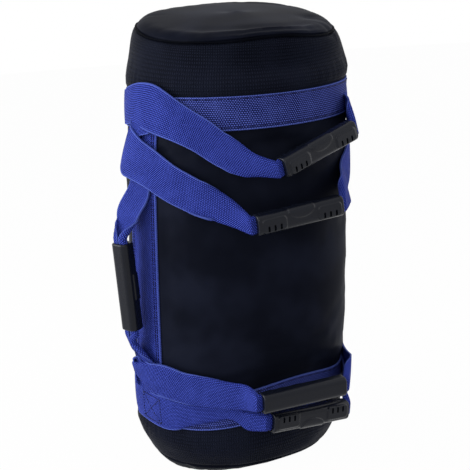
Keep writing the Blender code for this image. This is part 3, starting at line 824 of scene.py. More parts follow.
# Handle straps. Each row of a rail holds an azimuth in degrees, then a height and a lift off the
# wall in millimetres, from the sewn root to the mouth of the grip.

UPPER_FRONT_LEFT_TOP = [
    (-140, 436, 2.4), (-124, 438, 2.6), (-112, 441, 2.8), (-102, 446, 4.8), (-92, 451, 5.6),
    (-84, 452.5, 6.4), (-76.5, 450, 6.4), (-69, 441, 6), (-60, 428, 5.6), (-48, 412, 6),
    (-40, 398, 8), (-34, 388, 11), (-28.5, 377.5, 17),
]
UPPER_FRONT_LEFT_FOOT = [
    (-140, 398, 2.4), (-125, 400, 2.6), (-114, 402, 2.8), (-104, 405, 4.8), (-96, 407, 5.8),
    (-84, 401.5, 6), (-76, 397.5, 6), (-66.5, 392, 5.8), (-56, 382.5, 5.8), (-47, 370, 7),
    (-40, 362, 10.5), (-33, 356.5, 16), (-28, 356, 19),
]
UPPER_REAR_LEFT_TOP = [
    (-82, 436, 5.2), (-90, 431, 5.4), (-96, 419, 6), (-98, 406, 7), (-94, 401, 9), (-86, 392, 8.6),
    (-77, 383, 7.4), (-65, 367, 6.6), (-55, 355.5, 6.4), (-44, 340.5, 7.6), (-38, 331, 12),
    (-33, 320, 20),
]
UPPER_REAR_LEFT_FOOT = [
    (-82, 399, 5.2), (-92, 393, 5.6), (-102, 378, 6.4), (-109, 361, 8.6), (-102, 352, 12),
    (-93, 349, 11.4), (-83, 343, 9), (-72, 331.5, 7), (-63, 323, 6.6), (-51, 314, 8.5),
    (-43, 309, 13), (-36, 304, 21),
]
LOWER_REAR_LEFT_TOP = [
    (-80, 105, 5), (-88, 121, 5.2), (-96, 142, 5.6), (-102, 134, 9), (-96, 135, 11),
    (-86, 142, 10.6), (-74, 145, 8.4), (-60, 138, 7.4), (-47, 134, 11), (-39, 132, 17),
    (-33, 131, 25),
]
LOWER_REAR_LEFT_FOOT = [
    (-80, 67, 5), (-89, 83, 5.2), (-98, 102, 6), (-99, 121, 9), (-91, 115, 10), (-82, 108, 9),
    (-73, 104, 8), (-61, 102, 8.6), (-48, 102, 13), (-39, 103, 20), (-33, 104, 27),
]
LOWER_FRONT_LEFT_TOP = [
    (-140, 105, 2.4), (-124, 105, 2.6), (-112, 105, 2.8), (-102, 105, 5), (-84, 104, 5.6),
    (-73, 104, 5), (-61, 107, 4.8), (-49, 108, 7), (-41, 107, 11), (-36.5, 103, 14.5),
    (-33, 98, 18.5),
]
LOWER_FRONT_LEFT_FOOT = [
    (-140, 67, 2.4), (-124, 67, 2.6), (-112, 67, 2.8), (-101, 67, 5), (-83, 66, 5.6), (-72, 66, 5),
    (-61, 75, 4.6), (-49, 82, 6.4), (-41, 87, 9.4), (-36, 83, 13.5), (-32, 76, 18),
]

# Legs behind the right edge, each row the azimuth, height and lift of the strap's middle line
UPPER_FRONT_RIGHT_LEG = [
    (98, 420, 5.6), (90, 420, 5.8), (83, 419, 6), (74, 416, 4.6), (62, 411, 3), (50, 406, 2.2),
    (38, 402, 3), (30, 399, 12),
]
UPPER_REAR_RIGHT_LEG = [
    (84, 424, 5.4), (91, 419, 6), (98, 406, 10), (102, 392, 12.5), (98, 383, 11), (87, 378, 8),
    (75, 371, 5), (62, 362, 2), (50, 352, 1.4), (38, 342, 1.4), (28, 334, 4), (20, 324, 15),
]
LOWER_REAR_RIGHT_LEG = [
    (82, 84, 5.2), (90, 86, 6), (97, 91, 10), (101, 100, 12), (98, 108, 12.5), (90, 110, 11),
    (75, 106, 7), (62, 102, 5), (50, 100, 6), (39, 102, 11), (28, 108, 20), (18, 115, 30),
]
LOWER_FRONT_RIGHT_LEG = [
    (98, 86, 5.4), (90, 86, 5.8), (83, 86, 6), (74, 86, 5.4), (62, 85, 5.8), (47, 82, 7.4),
    (35, 79, 13), (25, 76, 20.5),
]

# Rails of each ring handle: the top and the foot of its left leg, and the middle of its right one
RING_RAILS = {
    "upper_front": (UPPER_FRONT_LEFT_TOP, UPPER_FRONT_LEFT_FOOT, UPPER_FRONT_RIGHT_LEG),
    "upper_rear": (UPPER_REAR_LEFT_TOP, UPPER_REAR_LEFT_FOOT, UPPER_REAR_RIGHT_LEG),
    "lower_front": (LOWER_FRONT_LEFT_TOP, LOWER_FRONT_LEFT_FOOT, LOWER_FRONT_RIGHT_LEG),
    "lower_rear": (LOWER_REAR_LEFT_TOP, LOWER_REAR_LEFT_FOOT, LOWER_REAR_RIGHT_LEG),
}

# Side handle on the left, its rails towards the front and towards the back
SIDE_UPPER_FRONT = [
    (-81.5, 346, 4.2), (-81.5, 338, 4.4), (-82, 330, 5.6), (-82.8, 322.5, 8.5), (-84, 315.5, 12),
    (-85.2, 307, 15.5), (-86.5, 299, 18),
]
SIDE_UPPER_BACK = [
    (-98.5, 346, 4.2), (-98.8, 338, 6.5), (-99.5, 330, 11), (-100.5, 322, 15), (-101, 314, 18),
    (-100.5, 306.5, 19.5), (-98.8, 299, 20),
]
SIDE_LOWER_FRONT = [
    (-81.5, 118, 4.2), (-81.5, 132, 4.2), (-82, 143, 6), (-84.5, 153, 10.5), (-87.5, 162, 15),
    (-89, 168, 17.5),
]
SIDE_LOWER_BACK = [
    (-98.5, 118, 4.2), (-98.5, 132, 4.2), (-98, 143, 4.6), (-97.5, 153, 6.5), (-96.5, 162, 10.5),
    (-95, 168, 13.5),
]

# Where the grips of the ring handles rest: azimuth of the middle, its drop below the ring,
# its stand-off from the wall, and the slope of the grip
UPPER_FRONT_GRIP = (math.radians(0), 0.0443, 0.0165, math.radians(15))
UPPER_REAR_GRIP = (math.radians(-10.8), 0.109, 0.022, math.radians(3.7))
LOWER_FRONT_GRIP = (math.radians(-3.7), 0.0037, 0.0195, math.radians(-6.9))
LOWER_REAR_GRIP = (math.radians(-10.3), -0.031, 0.034, math.radians(-1.5))

# Grips of the side handles
SIDE_GRIP_HEIGHT = 0.232
SIDE_ROOT_LIFT = 0.0042
SIDE_STANDOFF = 0.0212
SIDE_REST_SWING = math.radians(10)
SIDE_GRIP_TILT = math.radians(5)
SIDE_FACING_TURN = math.radians(14)

# Where a handle's own turning begins and where it is whole
RING_TURN_START = (0, -0.005, 0)
RING_TURN_END = (0, -0.062, 0)
SIDE_TURN_UPPER = ((0, 0, 0.330), (0, 0, 0.292))
SIDE_TURN_LOWER = ((0, 0, 0.134), (0, 0, 0.172))

# How finely a strap's rails run, how often they are eased, and how far a strap arches across
SPAN_STEPS = 12
EASING_PASSES = 6
STRAP_CROWN = 0.0006


def unit(vector):
    """Vector of length 1."""
    return vector / np.linalg.norm(vector, axis=-1, keepdims=True)


def smooth_run(points):
    """Dense smooth run through the given points."""
    points = np.asarray(points, dtype=float)
    guide = np.concatenate([[2 * points[0] - points[1]], points, [2 * points[-1] - points[-2]]])
    run = []
    for index in range(len(points) - 1):
        before, first, second, after = guide[index:index + 4]
        for share in np.arange(SPAN_STEPS) / SPAN_STEPS:
            run.append(0.5 * (2 * first + (second - before) * share
                              + (2 * before - 5 * first + 4 * second - after) * share * share
                              + (3 * first - before - 3 * second + after) * share ** 3))
    run.append(points[-1])
    return np.array(run)


def softened(run):
    """Run with its small kinks eased, its ends held."""
    run = run.copy()
    for _ in range(EASING_PASSES):
        run[1:-1] = (run[:-2] + 2 * run[1:-1] + run[2:]) / 4
    return run


def rails_of_leg(rows, width):
    """Upper and lower edge of a leg that is given by its middle line."""
    middle = [beside(row) for row in rows]
    upper, lower = [], []
    for index, row in enumerate(rows):
        before, after = middle[max(index - 1, 0)], middle[min(index + 1, len(rows) - 1)]
        outward = outward_at(row[0] * DEGREE)
        side = unit(np.cross(outward, unit(after - before)))
        if side[2] < 0:
            side = -side
        upper.append(middle[index] + side * width / 2)
        lower.append(middle[index] - side * width / 2)
    return upper, lower


def grip_frame(middle, along, outward):
    """Matrix of a grip from its middle, its length's direction and its outward side."""
    across = outward.cross(along).normalized()
    face = along.cross(across)
    return Matrix.Translation(middle) @ Matrix((along, across, face)).transposed().to_4x4()


def ring_grip_frame(ring, place):
    """Where the grip of a ring handle rests."""
    turn, drop, standoff, slope = place
    middle = wall_points(turn, ring - drop, standoff)
    level = outward_at(turn + math.pi / 2)
    along = Vector(level * math.cos(slope)) + Vector((0, 0, math.sin(slope)))
    centre = Vector(leaned(middle))
    radial = heading(turn)
    outward = (radial - BAG_UP * radial.dot(BAG_UP)).normalized()
    return grip_frame(centre, along, outward)


def side_grip_frame(side):
    """Where the grip of a side handle rests, swung a little to the back."""
    azimuth = side * math.pi / 2
    out = heading(azimuth + side * SIDE_REST_SWING)
    root = Vector(leaned(wall_points(azimuth, SIDE_GRIP_HEIGHT, SIDE_ROOT_LIFT)))
    along = (BAG_UP * math.cos(SIDE_GRIP_TILT) + out * math.sin(SIDE_GRIP_TILT)).normalized()
    facing = heading(azimuth - side * SIDE_FACING_TURN)
    return grip_frame(root + out * (SIDE_STANDOFF - SIDE_ROOT_LIFT), along, facing)


def handle_frames():
    """Where the grip of each handle rests."""
    return {
        "upper_front": ring_grip_frame(UPPER_RING_HEIGHT, UPPER_FRONT_GRIP),
        "upper_rear": ring_grip_frame(UPPER_RING_HEIGHT, UPPER_REAR_GRIP),
        "lower_front": ring_grip_frame(LOWER_RING_HEIGHT, LOWER_FRONT_GRIP),
        "lower_rear": ring_grip_frame(LOWER_RING_HEIGHT, LOWER_REAR_GRIP),
        "left_side": side_grip_frame(-1),
        "right_side": side_grip_frame(1),
    }


def mouth_rails(frame, reaches, width):
    """Edges of the strap where it runs straight through the grip, at reaches from its middle."""
    upper = [np.array(frame @ Vector((reach, width / 2, 0))) for reach in reaches]
    lower = [np.array(frame @ Vector((reach, -width / 2, 0))) for reach in reaches]
    return upper, lower


def between(values, row):
    """Values at rows that may lie between two of them."""
    low = np.clip(np.floor(row).astype(int), 0, len(values) - 2)
    share = row - low
    if values.ndim > 1:
        share = share[:, None]
    return values[low] * (1 - share) + values[low + 1] * share


def strap_surface(upper, lower, lower_roll=None):
    """Length of a strap between two rails, and its places by the length along it, the length
    across it and the lift off its middle sheet. Width that the rails don't show curls back."""
    top = softened(smooth_run(upper))
    foot = softened(smooth_run(lower))
    middle = (top + foot) / 2
    lengths = np.concatenate([[0.0], np.cumsum(np.linalg.norm(np.diff(middle, axis=0), axis=1))])
    rows = round(lengths[-1] / STRAP_STEP)
    even = np.linspace(0, lengths[-1], rows + 1)

    def resampled(run):
        """Run at even steps."""
        return np.stack([np.interp(even, lengths, run[:, axis]) for axis in range(3)], axis=-1)

    top, foot = resampled(top), resampled(foot)
    middle = (top + foot) / 2
    along = unit(np.gradient(middle, axis=0))
    side = top - foot
    shown = np.linalg.norm(side, axis=1) / 2
    side = unit(side)
    outward = unit(np.cross(along, side))
    hidden = np.maximum(STRAP_WIDTH / 2 - shown, 0.0)
    curl = np.minimum(hidden / (CURL_RADIUS * (math.pi / 2 - 1)), 1.0)
    flat = shown - CURL_RADIUS * curl
    stretch = np.maximum(shown / (STRAP_WIDTH / 2), 1.0)
    roll = np.ones(rows + 1) if lower_roll is None else lower_roll(even)

    def place(length, across, lift):
        """Places on the strap."""
        row = np.clip(length / lengths[-1] * rows, 0, rows)
        edge = between(flat, row)
        offset = across * between(stretch, row)
        past = np.maximum(np.abs(offset) - edge, 0.0)
        turn = np.minimum(past / CURL_RADIUS, math.pi)
        back = np.maximum(past - math.pi * CURL_RADIUS, 0.0)
        reach = np.minimum(np.abs(offset), edge) + (CURL_RADIUS + lift) * np.sin(turn) - back
        depth = CURL_RADIUS - (CURL_RADIUS + lift) * np.cos(turn)
        sign = np.where(offset < 0, between(roll, row), 1.0)
        crown = STRAP_CROWN * (1 - (offset / STRAP_WIDTH * 2) ** 2)
        return (between(middle, row) + unit(between(side, row)) * (np.sign(offset) * reach)[:, None]
                + unit(between(outward, row)) * (crown - depth * sign)[:, None])

    return lengths[-1], place


def finished_strap(name, length, place, body, nodes, weave):
    """Strap with its thickness, rounded edges and finish."""
    rows = round(length / STRAP_STEP)

    def sheet(way, across):
        """Middle sheet of the strap."""
        return place(way * length, (across - 0.5) * STRAP_WIDTH, 0.0)

    piece = laid_grid(name, rows, STRAP_COLUMNS, sheet, (length, STRAP_WIDTH))
    apply_modifier(piece, "thickness", "SOLIDIFY", thickness=WEB_THICKNESS, offset=0)
    smooth_by_angle(piece)
    return dressed(piece, body, nodes, weave)


# Stitches

STITCH_PITCH = 0.0034
STITCH_LENGTH_SHARE = 0.80
STITCH_END_POWER = 0.7
THREAD_WIDTH = 0.00085
THREAD_RISE = 0.0002
STITCH_SIDES = 8
STITCH_RINGS = 6

# Distances from the root of the rows of stitches across a side handle's strap
SIDE_STITCH_WAYS = (0.0030, 0.0125, 0.0158)

# Sewn boxes, each by the distance of its start from the root and its length
BOX_INSET = 0.0045
HIDDEN_BOX = (0.004, 0.030)
LOWER_FRONT_BOX = (0.097, 0.034)

# Stretch over which the lower edge of the upper rear strap rolls outwards
ROLL_START = 0.155
ROLL_END = 0.222
ROLL_FADE = 0.012


def stitch_pattern():
    """One stitch of thread along X, 1 long and 1 wide, with tapered ends."""
    stitch = added(bpy.ops.mesh.primitive_uv_sphere_add, segments=STITCH_SIDES,
                   ring_count=STITCH_RINGS, radius=0.5)
    edit_whole(stitch, bpy.ops.transform.rotate, value=math.pi / 2, orient_axis="Y",
               center_override=(0, 0, 0))
    places = coordinates(stitch.data)
    faces = [tuple(face.vertices) for face in stitch.data.polygons]
    bpy.data.objects.remove(stitch, do_unlink=True)
    places[:, 0] = np.sign(places[:, 0]) * np.abs(places[:, 0] * 2) ** STITCH_END_POWER / 2
    return places, faces


def stitch_line(place, start, end):
    """Frames of the stitches between two points of a surface, as their middles and sides."""
    start, end = np.array(start), np.array(end)
    span = np.linalg.norm(end - start)
    count = max(round(span / STITCH_PITCH), 1)
    ways = (np.arange(count) + 0.5) / count
    half = STITCH_LENGTH_SHARE * span / count / 2 * (end - start) / span
    middle = start + ways[:, None] * (end - start)
    square = np.array((-half[1], half[0]))

    def at(points):
        """Places on the surface."""
        return place(points[:, 0], points[:, 1])

    first, last = at(middle - half), at(middle + half)
    sideways = at(middle + square) - at(middle - square)
    along = last - first
    length = np.linalg.norm(along, axis=1)
    along = unit(along)
    across = unit(sideways - along * np.sum(sideways * along, axis=1)[:, None])
    return at(middle), along, across, np.cross(along, across), length


def stitches(name, place, lines, body, thread):
    """Rows of stitches on a surface, as one piece."""
    pattern, faces = stitch_pattern()
    places, polygons = [], []
    for start, end in lines:
        for middle, along, across, up, length in zip(*stitch_line(place, start, end)):
            base = len(places) * len(pattern)
            shaped = (middle + along * pattern[:, :1] * length + across * pattern[:, 1:2] * THREAD_WIDTH
                      + up * (pattern[:, 2:] * THREAD_WIDTH + THREAD_RISE))
            places.append(shaped)
            polygons += [tuple(index + base for index in face) for face in faces]
    mesh = bpy.data.meshes.new(name)
    mesh.from_pydata(np.concatenate(places).tolist(), [], polygons)
    piece = in_scene(name, mesh)
    face_outward(piece)
    select(piece)
    bpy.ops.object.shade_smooth()
    return dressed(piece, body, (), thread)


def crossed_box(start, end, half_width):
    """Lines of a sewn box with its two diagonals."""
    corners = [(start, -half_width), (end, -half_width), (end, half_width), (start, half_width)]
    sides = [(corners[index], corners[(index + 1) % 4]) for index in range(4)]
    return sides + [(corners[0], corners[2]), (corners[1], corners[3])]


def ring_strap(handle, frame, finishes, box=HIDDEN_BOX, lower_roll=None):
    """Strap of a ring handle, from its left root through the grip to its right root. It is sewn
    down by a box at either root."""
    name = handle + "_strap"
    left_top, left_foot, right_leg = RING_RAILS[handle]
    half = GRIP_LENGTH / 2
    reaches = (-half - MOUTH_RUN, -half, 0, half, half + MOUTH_RUN)
    through_top, through_foot = mouth_rails(frame, reaches, MOUTH_WIDTH)
    right_top, right_foot = rails_of_leg(right_leg, STRAP_WIDTH)
    top = [beside(row) for row in left_top] + through_top + right_top[::-1]
    foot = [beside(row) for row in left_foot] + through_foot + right_foot[::-1]
    length, place = strap_surface(top, foot, lower_roll)
    body = ("bag", handle, RING_TURN_START, RING_TURN_END)
    finished_strap(name + "_web", length, place, body, (name,), finishes["strap"])

    def outside(along, across):
        """Outer face of the strap."""
        return place(along, across, WEB_THICKNESS / 2)

    half_width = STRAP_WIDTH / 2 - BOX_INSET
    start, run = box
    lines = crossed_box(start, start + run, half_width)
    start, run = HIDDEN_BOX
    lines += crossed_box(length - start - run, length - start, half_width)
    stitches(name + "_stitches", outside, lines, body, finishes["thread"])


def mirrored(rows):
    """The same rail on the right side."""
    return [(-azimuth, height, lift) for azimuth, height, lift in rows]


def side_strap(side, frame, finishes):
    """Two halves of the strap of a side handle, which meet inside its grip."""
    name = "left_side" if side < 0 else "right_side"
    half = GRIP_LENGTH / 2
    legs = (("upper", 1, SIDE_UPPER_FRONT, SIDE_UPPER_BACK, SIDE_TURN_UPPER),
            ("lower", -1, SIDE_LOWER_FRONT, SIDE_LOWER_BACK, SIDE_TURN_LOWER))
    for end, sign, front_rows, back_rows, turn in legs:
        reaches = (sign * (half + MOUTH_RUN), sign * half, sign * half / 2)
        plus, minus = mouth_rails(frame, reaches, MOUTH_WIDTH)
        rows = (front_rows, back_rows) if side < 0 else (mirrored(front_rows), mirrored(back_rows))
        front = [beside(row) for row in rows[0]]
        back = [beside(row) for row in rows[1]]
        plus_is_front = plus[0][1] < minus[0][1]
        front += plus if plus_is_front else minus
        back += minus if plus_is_front else plus
        outer_first = side * sign < 0
        length, place = strap_surface(back if outer_first else front, front if outer_first else back)
        body = ("bag", name, *turn)
        finished_strap(name + "_strap_" + end, length, place, body, (name + "_strap",),
                       finishes["strap"])

        def outside(along, across, place=place):
            """Outer face of the strap."""
            return place(along, across, WEB_THICKNESS / 2)

        half_width = STRAP_WIDTH / 2 - BOX_INSET
        rows = [((way, -half_width), (way, half_width)) for way in SIDE_STITCH_WAYS]
        stitches(name + "_" + end + "_stitches", outside, rows, body, finishes["thread"])


# Moulded grips

GRIP_EDGE = 0.0064
GRIP_EDGE_STEPS = 6
GRIP_END_EDGE = 0.0014
GRIP_END_STEPS = 2
GRIP_VOXEL = 0.0006
EASE_SHARE = 0.5
EASE_PASSES = 3
EMBOSS_RISE = 0.0011
END_PAD_SIZE = (0.0275, 0.0145)
END_PAD_MIDDLE = 0.0325
END_PAD_OFFSET = -0.0014
PAD_CORNER = 0.0036
PAD_STEPS = 5
LENS_SIZE = (0.030, 0.018)
LENS_OFFSET = 0.0090
LENS_FACETS = 48
SLOT_SIZE = (0.0023, 0.0062, 0.0064)
SLOT_PITCH = 0.0070
SLOT_COUNT = 3
SLOT_OFFSET = -0.0044
SLOT_STEPS = 2
MOUTH_SIZE = (0.0186, 0.0062)
MOUTH_EDGE = 0.0024
MOUTH_STEPS = 4

# Share of an edge's length that lies along an axis, from which it runs along it, and up to which
# it runs square to it
ALONG_SHARE = 0.9
SQUARE_SHARE = 0.1


def edit_edges(piece, chosen):
    """Go into edit mode with only those edges selected whose direction is chosen."""
    select(piece)
    bpy.ops.object.mode_set(mode="EDIT")
    bpy.ops.mesh.select_mode(type="EDGE")
    bpy.ops.mesh.select_all(action="DESELECT")
    bpy.ops.object.mode_set(mode="OBJECT")
    mesh = piece.data
    for edge in mesh.edges:
        first, second = (mesh.vertices[index].co for index in edge.vertices)
        edge.select = chosen((second - first).normalized())
    bpy.ops.object.mode_set(mode="EDIT")


def sized(piece, size, place):
    """Give a unit shape its size and its place, in its mesh."""
    edit_whole(piece, bpy.ops.transform.resize, value=size)
    edit_whole(piece, bpy.ops.transform.translate, value=place)
    return piece


def bar(size, place=(0, 0, 0)):
    """Block of a size at a place."""
    return sized(added(bpy.ops.mesh.primitive_cube_add, size=1), size, place)


def rounded_block(size, place, corner, segments, upright_only):
    """Block with rounded edges: all of them, or only those that stand upright."""
    block = bar(size, place)
    edit_edges(block, lambda direction: abs(direction.z) > ALONG_SHARE or not upright_only)
    bpy.ops.mesh.bevel(offset=corner, segments=segments, affect="EDGES")
    bpy.ops.object.mode_set(mode="OBJECT")
    return block


def join_shape(body, other, operation):
    """Join or cut with another piece, which is then removed."""
    apply_modifier(body, operation.lower(), "BOOLEAN", object=other, operation=operation, solver="EXACT")
    bpy.data.objects.remove(other, do_unlink=True)


def grip_body(swell=0.0):
    """Blank of the grip: a bar along X, rounded along its four long edges and eased at its ends,
    swelled a little all round its length where asked."""
    body = bar((GRIP_LENGTH, GRIP_WIDTH + 2 * swell, GRIP_THICKNESS + 2 * swell))
    body.name = "grip_pattern"
    edit_edges(body, lambda direction: abs(direction.x) > ALONG_SHARE)
    bpy.ops.mesh.bevel(offset=GRIP_EDGE + swell, segments=GRIP_EDGE_STEPS, affect="EDGES")
    edit_edges(body, lambda direction: abs(direction.x) < SQUARE_SHARE)
    bpy.ops.mesh.bevel(offset=GRIP_END_EDGE, segments=GRIP_END_STEPS, affect="EDGES")
    bpy.ops.object.mode_set(mode="OBJECT")
    return body


def grip_pattern():
    """Moulded grip along X, its outer face up: raised end pads with slots, a raised lens, and the
    mouth that the strap runs through."""
    body = grip_body()
    rise = GRIP_THICKNESS / 2 + EMBOSS_RISE
    for side in (-1, 1):
        pad = rounded_block((*END_PAD_SIZE, GRIP_THICKNESS),
                            (side * END_PAD_MIDDLE, END_PAD_OFFSET, GRIP_THICKNESS / 2),
                            PAD_CORNER, PAD_STEPS, True)
        join_shape(pad, grip_body(EMBOSS_RISE), "INTERSECT")
        join_shape(body, pad, "UNION")
    lens = added(bpy.ops.mesh.primitive_cylinder_add, vertices=LENS_FACETS, radius=0.5, depth=1)
    sized(lens, (*LENS_SIZE, GRIP_THICKNESS), (0, LENS_OFFSET, GRIP_THICKNESS / 2))
    join_shape(lens, grip_body(EMBOSS_RISE), "INTERSECT")
    join_shape(body, lens, "UNION")
    apply_modifier(body, "even", "REMESH", mode="VOXEL", voxel_size=GRIP_VOXEL)
    apply_modifier(body, "ease", "SMOOTH", factor=EASE_SHARE, iterations=EASE_PASSES)
    for side in (-1, 1):
        for index in range(SLOT_COUNT):
            way = side * END_PAD_MIDDLE + (index - (SLOT_COUNT - 1) / 2) * SLOT_PITCH
            slot = rounded_block(SLOT_SIZE, (way, SLOT_OFFSET, rise), SLOT_SIZE[0] / 3, SLOT_STEPS, True)
            join_shape(body, slot, "DIFFERENCE")
    mouth_size = (GRIP_LENGTH + GRIP_WIDTH, *MOUTH_SIZE)
    mouth = rounded_block(mouth_size, (0, 0, 0), MOUTH_EDGE, MOUTH_STEPS, False)
    join_shape(body, mouth, "DIFFERENCE")
    smooth_by_angle(body)
    return body


# How the moulded grip is turned in each handle where its raised face doesn't lie as moulded
HALF_TURN_FLAT = Matrix.Rotation(math.pi, 4, "Z")
HALF_TURN_OVER = Matrix.Rotation(math.pi, 4, "X")
GRIP_TURNS = {
    "lower_front": HALF_TURN_FLAT,
    "lower_rear": HALF_TURN_OVER,
    "left_side": HALF_TURN_OVER,
    "right_side": HALF_TURN_OVER,
}


def grips(frames, rubber):
    """Six copies of the pattern, each in its handle."""
    pattern = grip_pattern()
    for name, place in frames.items():
        grip = in_scene(name + "_grip_cover", pattern.data.copy())
        grip.data.transform(place @ GRIP_TURNS.get(name, Matrix.Identity(4)))
        dressed(grip, name, (name + "_grip",), rubber)
    bpy.data.objects.remove(pattern, do_unlink=True)


# Finishes

# Detail of the noise: soft, or with finer spots in it
EVEN_DETAIL = 2.0
FINE_DETAIL = 3.0


def feed(tree, socket, value):
    """Link a socket to another node's output, or give it a value."""
    if isinstance(value, bpy.types.NodeSocket):
        tree.links.new(value, socket)
    else:
        socket.default_value = value


def maths(tree, operation, first, second=0.0, third=0.0):
    """Result of a sum on values or links."""
    made = tree.nodes.new("ShaderNodeMath")
    made.operation = operation
    for socket, value in zip(made.inputs, (first, second, third)):
        feed(tree, socket, value)
    return made.outputs[0]


def ramp(tree, value, low, high):
    """Smooth change from 0 at the low value to 1 at the high one."""
    made = tree.nodes.new("ShaderNodeMapRange")
    made.interpolation_type = "SMOOTHSTEP"
    tree.links.new(value, made.inputs["Value"])
    made.inputs["From Min"].default_value = low
    made.inputs["From Max"].default_value = high
    return made.outputs["Result"]


def blended(tree, share, first, second):
    """Mix of two colours."""
    made = tree.nodes.new("ShaderNodeMix")
    made.data_type = "RGBA"
    tree.links.new(share, made.inputs["Factor"])
    for socket, value in ((made.inputs["A"], first), (made.inputs["B"], second)):
        feed(tree, socket, (*value, 1.0) if isinstance(value, tuple) else value)
    return made.outputs["Result"]


def object_places(tree):
    """Places in a piece's own frame."""
    return tree.nodes.new("ShaderNodeTexCoord").outputs["Object"]


def noise_at(tree, places, pitch, detail=EVEN_DETAIL):
    """Cloudy noise with a pitch in metres."""
    made = tree.nodes.new("ShaderNodeTexNoise")
    tree.links.new(places, made.inputs["Vector"])
    made.inputs["Scale"].default_value = 1 / pitch
    made.inputs["Detail"].default_value = detail
    return made.outputs["Fac"]


def bumped(tree, height, depth, strength=1.0, normal=None):
    """Relief of a depth in metres, on top of another normal where one is given."""
    made = tree.nodes.new("ShaderNodeBump")
    made.inputs["Strength"].default_value = strength
    made.inputs["Distance"].default_value = depth
    tree.links.new(height, made.inputs["Height"])
    if normal is not None:
        tree.links.new(normal, made.inputs["Normal"])
    return made.outputs["Normal"]


def new_finish(name, roughness, shine=None):
    """Material with its tree and its shader, whose mirror reflections follow a shine if given."""
    material = bpy.data.materials.new(name)
    material.use_nodes = True
    tree = material.node_tree
    shader = tree.nodes["Principled BSDF"]
    shader.inputs["Roughness"].default_value = roughness
    if shine is not None:
        shader.inputs["Specular IOR Level"].default_value = shine
    return material, tree, shader


def coloured(tree, shader, colour, normal):
    """Link a shader's colour and its normal."""
    tree.links.new(colour, shader.inputs["Base Color"])
    tree.links.new(normal, shader.inputs["Normal"])


def cloth_ways(tree):
    """Ways along and across a cloth, in metres."""
    split = tree.nodes.new("ShaderNodeSeparateXYZ")
    tree.links.new(tree.nodes.new("ShaderNodeTexCoord").outputs["UV"], split.inputs["Vector"])
    return split.outputs["X"], split.outputs["Y"]


def from_cell_middle(tree, way):
    """How far a way, counted in cells, lies from the middle of its cell."""
    return maths(tree, "SUBTRACT", maths(tree, "FRACT", way), 0.5)


# Webbing: its yarns, between whose low and high levels the colour runs from painted shade in the gaps to
# painted highlights on the tops
RING_YARN_PITCH = 0.0027
STRAP_YARN_PITCH = 0.0021
YARN_ROW_SHARE = 0.78
YARN_STEEPNESS = 4.2
YARN_LOW = 0.30
RING_YARN_LOW = 0.40
YARN_HIGH = 1.05
YARN_DEPTH = 0.0006
FIBRE_PITCH = 0.0007
FIBRE_SHARE = 0.25
SELVEDGE_WIDTH = 0.0018
SELVEDGE_SHARE = 0.4
WEAR_PITCH = 0.018
WEAR_LEVELS = (0.35, 0.75)
WEAR_SHARE = 0.14
WEB_ROUGHNESS = 0.6
WEB_SHINE = 0.03
# Painted light of the weave: the gap colours are painted shade between the yarns, the top colours painted
# highlights on the yarn tops; the first pair is for straps and strips, the second for the rings
WEB_GAP_SHADE = (0.003, 0.006, 0.080)
WEB_TOP_HIGHLIGHT = (0.078, 0.118, 0.64)
RING_GAP_SHADE = (0.002, 0.004, 0.045)
RING_TOP_HIGHLIGHT = (0.115, 0.155, 0.62)
WEB_EDGE = (0.13, 0.19, 0.66)


def staggered_yarns(tree, along, across, pitch_along, pitch_across):
    """Height of rows of short yarn floats, each row shifted by half a float."""
    row = maths(tree, "DIVIDE", across, pitch_across)
    row_index = maths(tree, "FLOOR", row)
    shift = maths(tree, "MULTIPLY", maths(tree, "MODULO", row_index, 2.0), 0.5)
    column = maths(tree, "ADD", maths(tree, "DIVIDE", along, pitch_along), shift)
    x, y = from_cell_middle(tree, column), from_cell_middle(tree, row)
    reach = maths(tree, "ADD", maths(tree, "MULTIPLY", x, x), maths(tree, "MULTIPLY", y, y))
    height = maths(tree, "SUBTRACT", 1.0, maths(tree, "MULTIPLY", reach, YARN_STEEPNESS))
    return maths(tree, "MAXIMUM", height, 0.0)


def webbing_finish(name, width, pitch, colours, low=YARN_LOW, lengthways=True):
    """Blue webbing: staggered yarns, paler edges, faint wear. Its colours run from painted shade in the
    gaps between the yarns to painted highlights on their tops, and to the edge."""
    # Colours of the painted shade in the gaps, of the painted highlights on the yarn tops, and of the edge
    shaded_gap, top, edge = colours
    material, tree, shader = new_finish(name, WEB_ROUGHNESS, WEB_SHINE)
    u, v = cloth_ways(tree)
    places = object_places(tree)
    along, across = (u, v) if lengthways else (v, u)
    yarns = staggered_yarns(tree, along, across, pitch, pitch * YARN_ROW_SHARE)
    from_middle = maths(tree, "ABSOLUTE", maths(tree, "SUBTRACT", across, width / 2))
    selvedge = ramp(tree, from_middle, width / 2 - SELVEDGE_WIDTH, width / 2 - SELVEDGE_WIDTH / 2)
    wear = ramp(tree, noise_at(tree, places, WEAR_PITCH, FINE_DETAIL), *WEAR_LEVELS)
    fibre = noise_at(tree, places, FIBRE_PITCH)
    height = maths(tree, "ADD", yarns, maths(tree, "MULTIPLY", fibre, FIBRE_SHARE))
    # Painted shade in the gaps and painted highlights on the yarn tops, by the height of the yarns
    body = blended(tree, ramp(tree, height, low, YARN_HIGH), shaded_gap, top)
    toned = blended(tree, maths(tree, "MULTIPLY", wear, WEAR_SHARE), body, top)
    edged = blended(tree, maths(tree, "MULTIPLY", selvedge, SELVEDGE_SHARE), toned, edge)
    coloured(tree, shader, edged, bumped(tree, height, YARN_DEPTH))
    return material
